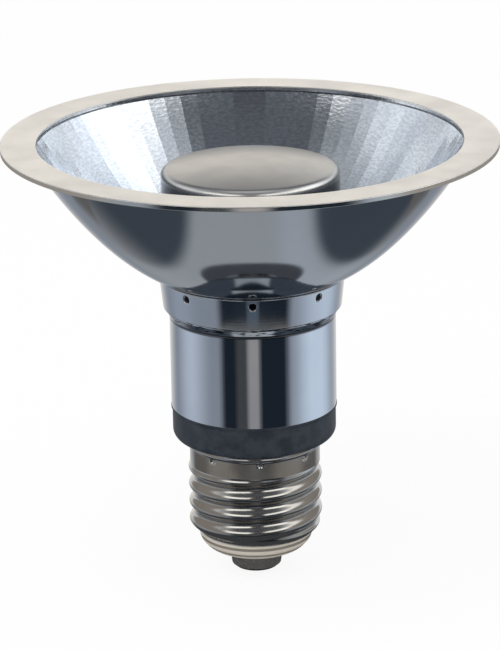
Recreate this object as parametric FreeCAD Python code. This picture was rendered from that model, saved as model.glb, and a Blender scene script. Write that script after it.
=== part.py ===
import FreeCAD, Part
import math
import os

# Reflector lamp standing on its contact tip, axis on Z, millimetres throughout.
# Every height is stacked up from the tip, so a change of one length lifts what stands on it.

Vector = FreeCAD.Vector
up = Vector(0, 0, 1)
centre = Vector(0, 0, 0)

# Screw cap, to the E27 gauge
thread_major_diameter = 26.3
thread_depth = 0.95
thread_pitch = 3.629
thread_crest_height = 17.6     # of the uppermost full crest over the lip, on the side that faces -X
thread_run_out = 1.5
shell_wall = 0.35
shell_height = 23.3
shell_band_step = 0.35         # of the plain band inwards from the crests
shell_band_height = 4.7
shell_bead = 0.15
shell_bead_height = 0.9
shell_dome_step = 1.85         # of the dome's widest place inwards from the crests
shell_dome_height = 4.4
shell_lip_diameter = 10.8
stake_count = 8
stake_diameter = 0.9
stake_drop = 1.5
stake_turn = 94.5

# Insulator and contact at the tip
contact_thickness = 0.8
contact_diameter = 9.2
contact_flat_diameter = 5.0
contact_edge_width = 0.4
contact_edge_height = 0.48
contact_tube_diameter = 2.2
contact_tube_bore = 1.2
insulator_show = 3.1
insulator_taper = 0.45
insulator_plug_height = 2.4
insulator_gap = 0.1

# Black ring between the screw shell and the housing
ring_height = 6.7
ring_inset = 0.075             # of its side inwards from the housing's
ring_lip = 0.08
ring_lip_height = 0.6
ring_foot_step = 0.3           # of its foot outwards from the shell's band
ring_corner_radius = 1.8
ring_corner_height = 0.3       # of the side's lower end over the foot
ring_floor = 3.2               # thickness over the foot, beside the upper spigot's bore
ring_step_height = 0.6
lower_spigot_length = 4.2
lower_spigot_wall = 1.5
upper_spigot_length = 3.0
upper_spigot_wall = 1.425
spigot_gap = 0.05
spigot_rounding = 0.3
lead_slot_width = 1.2
lead_slot_stop = 1.0           # of its end below the shell's top

# Housing, collar and heat spreader
housing_diameter = 32.35
housing_wall = 0.8
housing_length = 18.5
shoulder_height = 1.8
shoulder_step = 0.725          # of the shoulder outwards from the housing's side
shoulder_bend_radius = 1.2
shoulder_edge_radius = 0.5
shoulder_rise = 1.45          # height over which the side turns out to the shoulder
collar_height = 6.2
collar_flare = 0.65            # of its top outwards from its foot
collar_wall = 0.4
collar_gap = 0.05
collar_rounding = 0.18
dimple_count = 8
dimple_diameter = 2.1
dimple_hole_diameter = 1.3
dimple_depth = 0.75
dimple_wall = 0.15
dimple_drop = 1.37
dimple_turn = 90.0
spreader_thickness = 2.5
spreader_gap = 0.1
wire_hole_diameter = 5.2

# Bowl, mirror insert and rim ring
rim_diameter = 95.5
rim_width = 6.85
rim_sheet = 0.4
rim_lip_height = 0.9
rim_edge_radius = 0.35
rim_inner_rounding = 0.28
rim_lip_rounding = 0.16
rim_gap = 0.1
bowl_depth = 26.9
bowl_flange_width = 4.45       # from the bowl's mouth out to the rim's edge
bowl_start_slope = 25.5
bowl_lift = 0.2
bowl_wall = 0.6
bowl_flange = 0.4
mirror_wall = 0.7
mirror_gap = 0.1
mirror_hole_diameter = 24.0
facet_count = 72

# Carrier, light board and glare cap
carrier_height = 11.6
carrier_foot_diameter = 23.2
carrier_foot_thickness = 1.5
carrier_stem_diameter = 12.0
carrier_stem_fillet = 0.6
carrier_head_height = 3.0
carrier_rim_depth = 1.6
carrier_rim_diameter = 34.2
carrier_pocket_diameter = 31.8
carrier_bore = 5.2
carrier_window_diameter = 3.0
carrier_seat = 0.05
carrier_foot_rounding = 0.4
carrier_rim_rounding = 0.3
carrier_head_rounding = 0.5
screw_count = 3
screw_turn = 30.0
screw_circle_diameter = 18.0
screw_diameter = 2.5
screw_end_gap = 0.1            # of its end above the spreader's underside
screw_head_diameter = 4.4
screw_head_height = 1.1
screw_head_rounding = 0.44
screw_clearance = 0.05
screw_slot_width = 0.5
screw_slot_length = 2.64
screw_slot_depth = 0.55
cap_diameter = 34.5
cap_wall = 0.8
cap_height = 12.0
cap_edge_radius = 1.4
cap_dome = 1.2
cap_gap = 0.1
pad_thickness = 0.3
board_gap = 0.1
light_board_thickness = 1.0
light_board_hole = 14.4
light_count = 12
light_turn = 15.0
light_circle_diameter = 24.4
light_size = 2.8
light_height = 0.7
light_chamfer = 0.175

# Driver
liner_wall = 0.8
liner_gap = 0.2
liner_end_gap = 0.3
liner_hole_diameter = 7.0
rail_depth = 1.2
rail_width = 0.8
rail_gap = 0.05
driver_board_thickness = 1.2
driver_board_offset = 3.0      # of its middle plane from the axis, towards +Y
driver_board_side_gap = 0.12   # from its back corners to the liner
driver_tail_gap = 2.4          # from the tail's edges to the ring's bore
driver_tail_length = 12.0
driver_board_end_gap = 1.0
part_gap = 0.05
mould_edge = 0.4
core_width = 13.0
core_height = 12.0
core_depth = 6.0
core_leg = 2.8
core_side_leg = 1.5
core_yoke = 1.4
core_place = (-3.4, 8.6)       # sideways from the axis and up from the tail's shoulder
bobbin_wall = 0.6
bobbin_flange = 0.8
bobbin_depth = 10.0
winding_rounding = 1.2
input_capacitor_size = (8.0, 12.0)
input_capacitor_place = (-3.8, -9.8)
output_capacitor_size = (6.3, 11.0)
output_capacitor_place = (6.7, 3.0)
choke_diameter = 7.0
choke_height = 6.0
choke_flange = 1.0
choke_core_diameter = 3.2
choke_place = (4.9, -6.4)
rectifier_size = (6.5, 2.5, 4.7)
rectifier_place = (-4.5, -8.5)
chip_size = (4.9, 1.5, 3.9)
chip_place = (5.5, 6.5)
chip_leg_size = (0.4, 0.3, 1.0)
chip_leg_count = 4
chip_leg_pitch = 1.27
film_capacitor_size = (10.0, 5.0, 8.0)
film_capacitor_place = (-2.6, 2.5)
fuse_resistor_size = (3.2, 8.0)
fuse_resistor_place = (5.2, -10.5)
lead_diameter = 1.0
lead_spacing = 1.4
lead_bend = 1.1
lead_start = 1.6
lead_rise = 2.0                # over the board's top, where the leads turn to the middle
lead_lap = 2.0                 # length of a lead that lies on the board
light_pad_diameter = 18.6
shell_lead_diameter = 0.9
contact_lead_diameter = 0.9
contact_lead_drop = 4.0        # below the board, where the lead starts towards the axis
contact_lead_run = 5.0         # height over which it gets there
contact_lead_bend = 3.0

# Heights, stacked up from the tip
insulator_foot = contact_thickness
shell_foot = insulator_foot + insulator_show
shell_top = shell_foot + shell_height
insulator_plug_top = shell_foot + shell_wall + insulator_plug_height
ring_foot = shell_top + ring_step_height
ring_top = ring_foot + ring_height
shoulder_foot = ring_top + housing_length
collar_foot = shoulder_foot + shoulder_height
collar_top = collar_foot + collar_height
rim_top = collar_top + bowl_depth
rim_underside = rim_top - rim_sheet

# Diameters that follow their neighbours
shell_band_diameter = thread_major_diameter - 2 * shell_band_step
shell_dome_diameter = thread_major_diameter - 2 * shell_dome_step
ring_foot_diameter = shell_band_diameter + 2 * ring_foot_step
ring_bore = shell_band_diameter - 2 * (shell_wall + spigot_gap + lower_spigot_wall)
ring_diameter = housing_diameter - 2 * ring_inset
upper_spigot_bore = housing_diameter - 2 * (housing_wall + spigot_gap + upper_spigot_wall)
shoulder_diameter = housing_diameter + 2 * shoulder_step
collar_foot_diameter = shoulder_diameter + 2 * (collar_gap + collar_wall)
collar_top_diameter = collar_foot_diameter + 2 * collar_flare
rim_opening_diameter = rim_diameter - 2 * rim_width
bowl_mouth_diameter = rim_diameter - 2 * bowl_flange_width

# Radii that several pieces share
thread_middle_radius = (thread_major_diameter - thread_depth) / 2
shell_band_radius = shell_band_diameter / 2
shell_dome_reach = (shell_dome_diameter - shell_lip_diameter) / 2
shell_lip_radius = shell_lip_diameter / 2
housing_radius = housing_diameter / 2
housing_bore_radius = housing_radius - housing_wall
shoulder_radius = shoulder_diameter / 2
upper_spigot_radius = housing_bore_radius - spigot_gap
lower_spigot_radius = shell_band_radius - shell_wall - spigot_gap
rim_radius = rim_diameter / 2
mirror_hole_radius = mirror_hole_diameter / 2
cap_bore_radius = cap_diameter / 2 - cap_wall
carrier_stem_radius = carrier_stem_diameter / 2
carrier_pocket_radius = carrier_pocket_diameter / 2


class Skin:
    """Parabola in the half plane through the axis: height as a quadratic of radius."""

    def __init__(self, start, slope, end):
        self.start = start
        self.start_slope = slope
        self.end = end
        span = end[0] - start[0]
        self.bend = (end[1] - start[1] - slope * span) / span**2

    def height(self, radius):
        out = radius - self.start[0]
        return self.start[1] + self.start_slope * out + self.bend * out**2

    def slope(self, radius):
        return self.start_slope + 2 * self.bend * (radius - self.start[0])

    def radius(self, height):
        drop = self.start[1] - height
        root = math.sqrt(self.start_slope**2 - 4 * self.bend * drop)
        return self.start[0] + (root - self.start_slope) / (2 * self.bend)

    def inset(self, distance):
        """The same curve moved inwards and up by a sheet's thickness."""
        ends = []
        for point in (self.start, self.end):
            slope = self.slope(point[0])
            length = math.hypot(1, slope)
            ends.append((point[0] - distance * slope / length, point[1] + distance / length))
        return Skin(ends[0], self.start_slope, ends[1])

    def edge(self, first_radius, last_radius):
        """The stretch between two radii, as an exact curve of degree two."""
        middle = (first_radius + last_radius) / 2
        pull = self.height(first_radius) + self.slope(first_radius) * (middle - first_radius)
        curve = Part.BezierCurve()
        curve.setPoles([
            Vector(first_radius, 0, self.height(first_radius)),
            Vector(middle, 0, pull),
            Vector(last_radius, 0, self.height(last_radius)),
        ])
        return curve.toShape()


bowl_skin = Skin(
    (collar_top_diameter / 2, collar_top + bowl_lift),
    math.tan(math.radians(bowl_start_slope)),
    (bowl_mouth_diameter / 2, rim_top),
)
bowl_inner_skin = bowl_skin.inset(bowl_wall)
mirror_back_skin = bowl_skin.inset(bowl_wall + mirror_gap)
mirror_face_skin = bowl_skin.inset(bowl_wall + mirror_gap + mirror_wall)

# The spreader lies just under the mirror's hole and stands on the housing
spreader_top = mirror_back_skin.height(mirror_hole_radius) - mirror_gap
spreader_foot = spreader_top - spreader_thickness
housing_top = spreader_foot
carrier_ledge = spreader_top + carrier_height
pocket_roof = carrier_ledge + carrier_seat
light_board_top = pocket_roof - pad_thickness
light_board_foot = light_board_top - light_board_thickness
light_lead_height = light_board_foot - lead_bend - lead_diameter / 2
carrier_foot_top = spreader_top + carrier_foot_thickness

# The driver stands in its liner on the ring's spigot, its tail hanging into the cap
liner_radius = housing_bore_radius - liner_gap
liner_bore_radius = liner_radius - liner_wall
liner_foot = ring_top + upper_spigot_length
liner_top = spreader_foot - liner_end_gap
board_front = driver_board_offset - driver_board_thickness / 2
board_back = driver_board_offset + driver_board_thickness / 2
driver_board_width = 2 * (math.sqrt(liner_bore_radius**2 - board_back**2) - driver_board_side_gap)
driver_tail_width = ring_bore - 2 * driver_tail_gap
driver_shoulder = liner_foot
driver_top = liner_top - liner_wall - driver_board_end_gap
driver_tail_foot = driver_shoulder - driver_tail_length
core_window = (core_width - core_leg) / 2 - core_side_leg


def save(shape, node):
    shape.exportStep("parts/" + node + ".step")


def around(shape, count, first_turn=0.0):
    """Copies of a shape spread evenly about the axis."""
    copies = []
    for index in range(count):
        copy = shape.copy()
        copy.rotate(centre, up, first_turn + 360.0 * index / count)
        copies.append(copy)
    return copies


def half_plane(corner):
    return Vector(corner[0], 0, corner[1])


def fillet_points(before, here, after, radius):
    """Where a fillet leaves the first side, its middle, and where it joins the next side."""
    to_before = (before - here).normalize()
    to_after = (after - here).normalize()
    half_angle = to_before.getAngle(to_after) / 2
    reach = radius / math.tan(half_angle)
    towards_middle = (to_before + to_after).normalize()
    middle = here + towards_middle * (radius / math.sin(half_angle) - radius)
    return here + to_before * reach, middle, here + to_after * reach


def outline(corners):
    """Closed wire through (radius, height) corners, each with an optional fillet radius."""
    stops = []
    for index, corner in enumerate(corners):
        here = half_plane(corner)
        if len(corner) < 3:
            stops.append((here, None, here))
            continue
        before = half_plane(corners[index - 1])
        after = half_plane(corners[(index + 1) % len(corners)])
        stops.append(fillet_points(before, here, after, corner[2]))
    edges = []
    for index, (first, middle, last) in enumerate(stops):
        if middle is not None:
            edges.append(Part.Arc(first, middle, last).toShape())
        following = stops[(index + 1) % len(stops)][0]
        if (following - last).Length > 1e-6:
            edges.append(Part.LineSegment(last, following).toShape())
    return Part.Wire(edges)


def turned(wire):
    """Solid made by turning a closed outline about the axis."""
    return Part.Face(wire).revolve(centre, up, 360)


def line(first, last):
    return Part.LineSegment(half_plane(first), half_plane(last)).toShape()


def disc(radius, foot, top):
    return Part.makeCylinder(radius, top - foot, Vector(0, 0, foot))


def block(size, low_corner):
    return Part.makeBox(size[0], size[1], size[2], Vector(*low_corner))


def centred_block(size, middle):
    return block(size, (middle.x - size[0] / 2, middle.y - size[1] / 2, middle.z - size[2] / 2))


def bent_wire(points, diameter, bend):
    """Round wire through points, its bends rounded to one radius."""
    stops = [(points[0], None, points[0])]
    for index in range(1, len(points) - 1):
        stops.append(fillet_points(points[index - 1], points[index], points[index + 1], bend))
    stops.append((points[-1], None, points[-1]))
    edges = []
    for index, (first, middle, last) in enumerate(stops):
        if middle is not None:
            edges.append(Part.Arc(first, middle, last).toShape())
        if index + 1 < len(stops):
            edges.append(Part.LineSegment(last, stops[index + 1][0]).toShape())
    path = Part.Wire(edges)
    section = Part.Wire([Part.makeCircle(diameter / 2, points[0], points[1] - points[0])])
    return path.makePipeShell([section], True, False)


def smooth_step(value, start, end):
    """Zero before the start, one after the end, and a smooth rise between them."""
    share = min(max((value - start) / (end - start), 0.0), 1.0)
    return share * share * (3 - 2 * share)


# Rolled screw shell

def shell_radius(height):
    """Outer radius of the shell between its dome and its top, without the thread."""
    thread_foot = shell_foot + shell_dome_height
    band_foot = shell_top - shell_band_height
    dome_radius = shell_dome_diameter / 2
    swell = smooth_step(height, thread_foot, thread_foot + thread_run_out)
    widen = smooth_step(height, band_foot - thread_run_out / 2, band_foot + thread_run_out / 4)
    flare = smooth_step(height, shell_top - shell_bead_height, shell_top)
    radius = dome_radius + (thread_middle_radius - dome_radius) * swell
    return radius + (shell_band_radius - thread_middle_radius) * widen + shell_bead * flare


def shell_rows():
    """Radius, height and outward direction of the unthreaded shell, from the lip to the top."""
    rows = []
    dome_steps = 8
    steps_per_turn = 8
    thread_foot = shell_foot + shell_dome_height
    for step in range(dome_steps):
        turn = math.pi / 2 * step / dome_steps
        radius = shell_lip_radius + shell_dome_reach * math.sin(turn)
        height = shell_foot + shell_dome_height * (1 - math.cos(turn))
        rows.append((radius, height, math.sin(turn), -math.cos(turn)))
    straight = shell_top - thread_foot
    step_count = round(straight / thread_pitch * steps_per_turn)
    for step in range(step_count + 1):
        height = thread_foot + straight * step / step_count
        rows.append((shell_radius(height), height, 1.0, 0.0))
    return rows


def thread_wave(height, turn):
    """How far the rolled thread stands out of its middle, right-handed, faded at both ends."""
    thread_foot = shell_foot + shell_dome_height
    band_foot = shell_top - shell_band_height
    crest = shell_foot + thread_crest_height + thread_pitch * (turn - math.pi) / (2 * math.pi)
    phase = 2 * math.pi * (height - crest) / thread_pitch
    rise = smooth_step(height, thread_foot - thread_run_out / 2, thread_foot + thread_run_out / 2)
    fall = 1 - smooth_step(height, band_foot - thread_run_out / 2, band_foot + thread_run_out / 4)
    return thread_depth / 2 * math.cos(phase) * rise * fall


def shell_skin(inset):
    """The shell's outer skin as one smooth closed surface, or its inner one when inset by the wall."""
    columns = 24
    grid = []
    for radius, height, out, rise in shell_rows():
        row = []
        for column in range(columns + 1):
            turn = 2 * math.pi * (column % columns) / columns
            reach = radius + thread_wave(height, turn) * out - inset * out
            row.append(Vector(reach * math.cos(turn), reach * math.sin(turn), height - inset * rise))
        grid.append(row)
    surface = Part.BSplineSurface()
    surface.interpolate(grid)
    return surface.toShape()


def end_edge(skin, rank):
    """The lowest edge of a skin with rank 0, or its highest with rank -1."""
    ordered = sorted(skin.Edges, key=lambda edge: edge.CenterOfMass.z)
    return ordered[rank]


def closed_solid(faces):
    """Solid inside faces that meet along their edges."""
    skin = Part.makeCompound(faces)
    skin.sewShape(0.001)
    solid = Part.Solid(skin.Shells[0])
    if solid.Volume < 0:
        solid.reverse()
    return solid


def screw_shell():
    outer = shell_skin(0.0)
    inner = shell_skin(shell_wall)
    faces = [outer, inner]
    for rank in (0, -1):
        faces.append(Part.makeRuledSurface(end_edge(outer, rank), end_edge(inner, rank)))
    shell = closed_solid(faces)
    stake_height = shell_top - stake_drop
    stake = Part.makeCylinder(stake_diameter / 2, 2 * shell_wall + shell_bead)
    stake.rotate(centre, Vector(0, 1, 0), 90)
    stake.translate(Vector(shell_band_radius - 1.5 * shell_wall, 0, stake_height))
    return shell.cut(Part.makeCompound(around(stake, stake_count, stake_turn)))


# Tip of the cap

def dome_point(turn, inset):
    """Point of the shell's dome, an ellipse from the lip up to the thread, moved inwards."""
    radius = shell_lip_radius + (shell_dome_reach - inset) * math.sin(turn)
    height = shell_foot + shell_dome_height * (1 - math.cos(turn)) + inset * math.cos(turn)
    return Vector(radius, 0, height)


def cap_insulator():
    inset = shell_wall + insulator_gap
    plug_share = (insulator_plug_top - shell_foot - inset) / (shell_dome_height - inset)
    plug_turn = math.acos(1 - plug_share)
    seat = Part.BSplineCurve()
    seat_steps = 4
    seat.interpolate([dome_point(plug_turn * step / seat_steps, inset) for step in range(seat_steps + 1)])
    seat_edge = seat.toShape()
    seat_start = seat_edge.Vertexes[0].Point
    seat_end = seat_edge.Vertexes[-1].Point
    bore = contact_tube_diameter / 2 + insulator_gap
    neck = shell_lip_radius - insulator_gap
    edges = [
        line((bore, insulator_foot), (neck - insulator_taper, insulator_foot)),
        line((neck - insulator_taper, insulator_foot), (neck, shell_foot)),
        line((neck, shell_foot), (neck, seat_start.z)),
        line((neck, seat_start.z), (seat_start.x, seat_start.z)),
        seat_edge,
        line((seat_end.x, seat_end.z), (bore, seat_end.z)),
        line((bore, seat_end.z), (bore, insulator_foot)),
    ]
    return turned(Part.Wire(edges))


def centre_contact():
    """Button with a crowned underside and the hollow rivet tube that holds the lead."""
    radius = contact_diameter / 2
    flat = contact_flat_diameter / 2
    tube = contact_tube_diameter / 2
    bore = contact_tube_bore / 2
    return turned(outline([
        (0, 0),
        (flat, 0),
        (radius - contact_edge_width, contact_thickness - contact_edge_height),
        (radius, contact_thickness),
        (tube, contact_thickness),
        (tube, insulator_plug_top),
        (bore, insulator_plug_top),
        (bore, contact_thickness),
        (0, contact_thickness),
    ]))


# Black ring

def base_ring():
    step_radius = shell_band_radius - shell_wall / 4
    side = ring_diameter / 2
    lip = housing_radius + ring_lip
    body = turned(outline([
        (ring_bore / 2, shell_top - lower_spigot_length),
        (lower_spigot_radius, shell_top - lower_spigot_length, spigot_rounding),
        (lower_spigot_radius, shell_top),
        (step_radius, shell_top),
        (step_radius, ring_foot),
        (ring_foot_diameter / 2, ring_foot),
        (side, ring_foot + ring_corner_height, ring_corner_radius),
        (side, ring_top - ring_lip_height),
        (lip, ring_top - ring_lip_height / 2),
        (lip, ring_top),
        (upper_spigot_radius, ring_top),
        (upper_spigot_radius, liner_foot),
        (upper_spigot_bore / 2, liner_foot),
        (upper_spigot_bore / 2, ring_foot + ring_floor),
        (ring_bore / 2, ring_foot + ring_floor / 2),
    ]))
    slot_depth = shell_lead_diameter + 4 * spigot_gap
    slot_foot = shell_top - lower_spigot_length - spigot_gap
    slot = block(
        (slot_depth + spigot_gap, lead_slot_width, lower_spigot_length - lead_slot_stop),
        (-lower_spigot_radius - spigot_gap, -lead_slot_width / 2, slot_foot),
    )
    return body.cut(slot)


# Housing, collar and spreader

def housing():
    shoulder_bore = shoulder_radius - housing_wall
    return turned(outline([
        (housing_bore_radius, ring_top),
        (housing_radius, ring_top),
        (housing_radius, shoulder_foot, shoulder_bend_radius),
        (shoulder_radius, shoulder_foot + shoulder_rise, shoulder_edge_radius),
        (shoulder_radius, housing_top),
        (shoulder_bore, housing_top),
        (shoulder_bore, shoulder_foot + shoulder_rise),
        (housing_bore_radius, shoulder_foot),
    ]))


def collar_radius(height):
    """Outer radius of the tapered collar at a height."""
    share = (height - collar_foot) / collar_height
    return (collar_foot_diameter + (collar_top_diameter - collar_foot_diameter) * share) / 2


def dimple(far_radius, depth):
    """Cone that points at the axis, its wide end just outside the collar's face."""
    height = collar_top - dimple_drop
    cone = Part.makeCone(dimple_diameter / 2, far_radius, depth + spreader_gap)
    cone.rotate(centre, Vector(0, 1, 0), -90)
    cone.translate(Vector(collar_radius(height) + spreader_gap, 0, height))
    return cone


def collar():
    foot = collar_foot_diameter / 2
    top = collar_top_diameter / 2
    band = turned(outline([
        (foot - collar_wall, collar_foot),
        (foot, collar_foot, collar_rounding),
        (top, collar_top, collar_rounding),
        (top - collar_wall, collar_top, collar_rounding),
    ]))
    core = turned(outline([
        (foot - dimple_depth - collar_wall, collar_foot),
        (foot, collar_foot),
        (top, collar_top),
        (foot - dimple_depth - collar_wall, collar_top),
    ]))
    lug = dimple(dimple_hole_diameter / 2 + dimple_wall, dimple_depth).common(core)
    pit = dimple(dimple_hole_diameter / 4, dimple_depth - dimple_wall)
    lugs = Part.makeCompound(around(lug, dimple_count, dimple_turn))
    pits = Part.makeCompound(around(pit, dimple_count, dimple_turn))
    return band.fuse(lugs).cut(pits).removeSplitter()


def screw_holes(foot, top):
    """Drills for the carrier's screws through whatever lies between two heights."""
    place = Vector(screw_circle_diameter / 2, 0, foot - 1)
    drill = Part.makeCylinder(screw_diameter / 2 + screw_clearance, top - foot + 2, place)
    return around(drill, screw_count, screw_turn)


def heat_spreader():
    plate = disc(shoulder_radius - housing_wall / 2, spreader_foot, spreader_top)
    wire_hole = disc(wire_hole_diameter / 2, spreader_foot - 1, spreader_top + 1)
    return plate.cut(Part.makeCompound([wire_hole] + screw_holes(spreader_foot, spreader_top)))


# Bowl, mirror and rim ring

def neck_radius(height):
    """Outer radius of the bowl's neck, which follows the collar's taper from inside."""
    return collar_radius(height) - collar_wall - collar_gap


def outer_bowl():
    flange_radius = rim_radius - rim_sheet - rim_gap
    flange_foot = rim_underside - bowl_flange
    neck_foot = housing_top + spreader_gap
    neck_top = neck_radius(collar_top)
    skin_foot = bowl_skin.height(neck_top)
    outer_end = bowl_skin.radius(flange_foot)
    inner_end = bowl_inner_skin.radius(rim_underside)
    inner_start = neck_top - bowl_wall
    low_outer = neck_radius(neck_foot)
    low_inner = low_outer - bowl_wall
    edges = [
        line((low_outer, neck_foot), (neck_top, skin_foot)),
        bowl_skin.edge(neck_top, outer_end),
        line((outer_end, flange_foot), (flange_radius, flange_foot)),
        line((flange_radius, flange_foot), (flange_radius, rim_underside)),
        line((flange_radius, rim_underside), (inner_end, rim_underside)),
        bowl_inner_skin.edge(inner_end, inner_start),
        line((inner_start, bowl_inner_skin.height(inner_start)), (low_inner, neck_foot)),
        line((low_inner, neck_foot), (low_outer, neck_foot)),
    ]
    bowl = turned(Part.Wire(edges))
    hole_height = collar_top - dimple_drop
    hole = Part.makeCylinder(dimple_diameter / 2 + spreader_gap, 3 * bowl_wall)
    hole.rotate(centre, Vector(0, 1, 0), 90)
    hole.translate(Vector(neck_radius(hole_height) - 2 * bowl_wall, 0, hole_height))
    return bowl.cut(Part.makeCompound(around(hole, dimple_count, dimple_turn)))


def faceted_hollow():
    """Solid that fills the mirror: flat facets, each ruled between two meridians."""
    low_radius = mirror_hole_radius - 1
    high_radius = mirror_face_skin.radius(rim_top)
    meridian = mirror_face_skin.edge(low_radius, high_radius)
    meridians = around(meridian, facet_count)
    faces = []
    lows = []
    highs = []
    for index, here in enumerate(meridians):
        following = meridians[(index + 1) % facet_count]
        faces.append(Part.makeRuledSurface(here, following))
        lows.append(here.Vertexes[0].Point)
        highs.append(here.Vertexes[-1].Point)
    faces.append(Part.Face(Part.makePolygon(lows + lows[:1])))
    faces.append(Part.Face(Part.makePolygon(highs + highs[:1])))
    return closed_solid(faces)


def reflector():
    back_end = mirror_back_skin.radius(rim_underside)
    back_start = mirror_back_skin.height(mirror_hole_radius)
    edges = [
        mirror_back_skin.edge(mirror_hole_radius, back_end),
        line((back_end, rim_underside), (mirror_hole_radius, rim_underside)),
        line((mirror_hole_radius, rim_underside), (mirror_hole_radius, back_start)),
    ]
    return turned(Part.Wire(edges)).cut(faceted_hollow())


def rim_ring():
    opening = rim_opening_diameter / 2
    lip_foot = rim_top - rim_lip_height
    return turned(outline([
        (opening, rim_underside),
        (opening, rim_top, rim_inner_rounding),
        (rim_radius, rim_top, rim_edge_radius),
        (rim_radius, lip_foot, rim_lip_rounding),
        (rim_radius - rim_sheet, lip_foot, rim_lip_rounding),
        (rim_radius - rim_sheet, rim_underside),
    ]))


# Carrier, lights and glare cap

def led_carrier():
    foot = carrier_foot_diameter / 2
    rim = carrier_rim_diameter / 2
    head = cap_bore_radius - cap_gap
    head_top = carrier_ledge + carrier_head_height
    body = turned(outline([
        (carrier_bore / 2, spreader_top),
        (foot, spreader_top),
        (foot, carrier_foot_top, carrier_foot_rounding),
        (carrier_stem_radius, carrier_foot_top, carrier_stem_fillet),
        (carrier_stem_radius, pocket_roof),
        (carrier_pocket_radius, pocket_roof),
        (carrier_pocket_radius, carrier_ledge - carrier_rim_depth),
        (rim, carrier_ledge - carrier_rim_depth, carrier_rim_rounding),
        (rim, carrier_ledge),
        (head, carrier_ledge),
        (head, head_top, carrier_head_rounding),
        (carrier_bore / 2, head_top),
    ]))
    window = Part.makeCylinder(carrier_window_diameter / 2, carrier_stem_radius + 1)
    window.rotate(centre, Vector(0, 1, 0), 90)
    window.translate(Vector(0, 0, light_lead_height))
    return body.cut(Part.makeCompound(screw_holes(spreader_top, carrier_foot_top) + [window]))


def carrier_screws():
    """Round-headed screws with crossed slots, through the carrier's foot into the spreader."""
    x = screw_circle_diameter / 2
    shank_foot = spreader_foot + screw_end_gap
    head_top = carrier_foot_top + screw_head_height
    shank_place = Vector(x, 0, shank_foot)
    shank = Part.makeCylinder(screw_diameter / 2, carrier_foot_top - shank_foot, shank_place)
    head = Part.makeCylinder(screw_head_diameter / 2, screw_head_height, Vector(x, 0, carrier_foot_top))
    screw = shank.fuse(head.makeFillet(screw_head_rounding, [edge_at(head, head_top)]))
    for turn in (0, 90):
        slot = centred_block(
            (screw_slot_length, screw_slot_width, 2 * screw_slot_depth),
            Vector(0, 0, head_top),
        )
        slot.rotate(Vector(0, 0, head_top), up, turn)
        slot.translate(Vector(x, 0, 0))
        screw = screw.cut(slot)
    return Part.makeCompound(around(screw, screw_count, screw_turn))


def edge_at(shape, height):
    """The round edge of a shape that lies at a height."""
    for edge in shape.Edges:
        flat = abs(edge.BoundBox.ZMin - height) < 1e-6 and abs(edge.BoundBox.ZMax - height) < 1e-6
        if flat and edge.Closed:
            return edge
    return None


def cap_skin(radius, crown, edge_radius):
    """Round edge and shallow dome of the glare cap, which meet on one tangent."""
    edge_centre = Vector(radius - edge_radius, 0, crown - cap_dome - edge_radius)
    dome_turn = math.pi / 2 - 2 * math.atan(cap_dome / edge_centre.x)

    def edge_point(turn):
        return edge_centre + Vector(math.cos(turn), 0, math.sin(turn)) * edge_radius

    dome_start = edge_point(dome_turn)
    edge = Part.Arc(edge_point(0), edge_point(dome_turn / 2), dome_start).toShape()
    dome = Part.BezierCurve()
    dome.setPoles([dome_start, Vector(dome_start.x / 2, 0, crown), Vector(0, 0, crown)])
    return edge, dome.toShape(), edge_centre.z


def glare_cap():
    """Deep-drawn cup upside down: a straight wall, a round edge and a shallow dome."""
    top = carrier_ledge + cap_height
    radius = cap_diameter / 2
    outer_edge, outer_dome, outer_corner = cap_skin(radius, top, cap_edge_radius)
    inner_edge, inner_dome, inner_corner = cap_skin(
        cap_bore_radius, top - cap_wall, cap_edge_radius - cap_wall / 2)
    return turned(Part.Wire([
        line((cap_bore_radius, carrier_ledge), (radius, carrier_ledge)),
        line((radius, carrier_ledge), (radius, outer_corner)),
        outer_edge,
        outer_dome,
        line((0, top), (0, top - cap_wall)),
        inner_dome,
        inner_edge,
        line((cap_bore_radius, inner_corner), (cap_bore_radius, carrier_ledge)),
    ]))


def light_ring(foot, top):
    """Flat ring that fits in the carrier's pocket round its stem."""
    ring = disc(carrier_pocket_radius - board_gap, foot, top)
    return ring.cut(disc(light_board_hole / 2, foot - 1, top + 1))


def led_packages():
    """Light sources under the board, the edges of their faces chamfered."""
    middle = Vector(light_circle_diameter / 2, 0, light_board_foot - light_height / 2)
    package = centred_block((light_size, light_size, light_height), middle)
    face_edges = [edge for edge in package.Edges if edge.BoundBox.ZMax < middle.z]
    package = package.makeChamfer(light_chamfer, face_edges)
    return Part.makeCompound(around(package, light_count, light_turn))


# Driver

def driver_liner():
    """Sleeve with an inner flange on top and two pairs of rails that hold the board's edges."""
    sleeve = turned(outline([
        (liner_bore_radius, liner_foot),
        (liner_radius, liner_foot),
        (liner_radius, liner_top),
        (liner_hole_diameter / 2, liner_top),
        (liner_hole_diameter / 2, liner_top - liner_wall),
        (liner_bore_radius, liner_top - liner_wall),
    ]))
    rails = []
    keeper = disc(liner_radius - liner_wall / 2, liner_foot, liner_top - liner_wall / 2)
    for side in (-1, 1):
        for middle_y in (board_front - rail_gap - rail_width / 2, board_back + rail_gap + rail_width / 2):
            middle_x = side * (driver_board_width / 2 + rail_depth / 2)
            middle = Vector(middle_x, middle_y, (liner_foot + liner_top) / 2)
            rail = centred_block((3 * rail_depth, rail_width, liner_top - liner_foot), middle)
            rails.append(rail.common(keeper))
    return sleeve.fuse(rails).removeSplitter()


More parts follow.
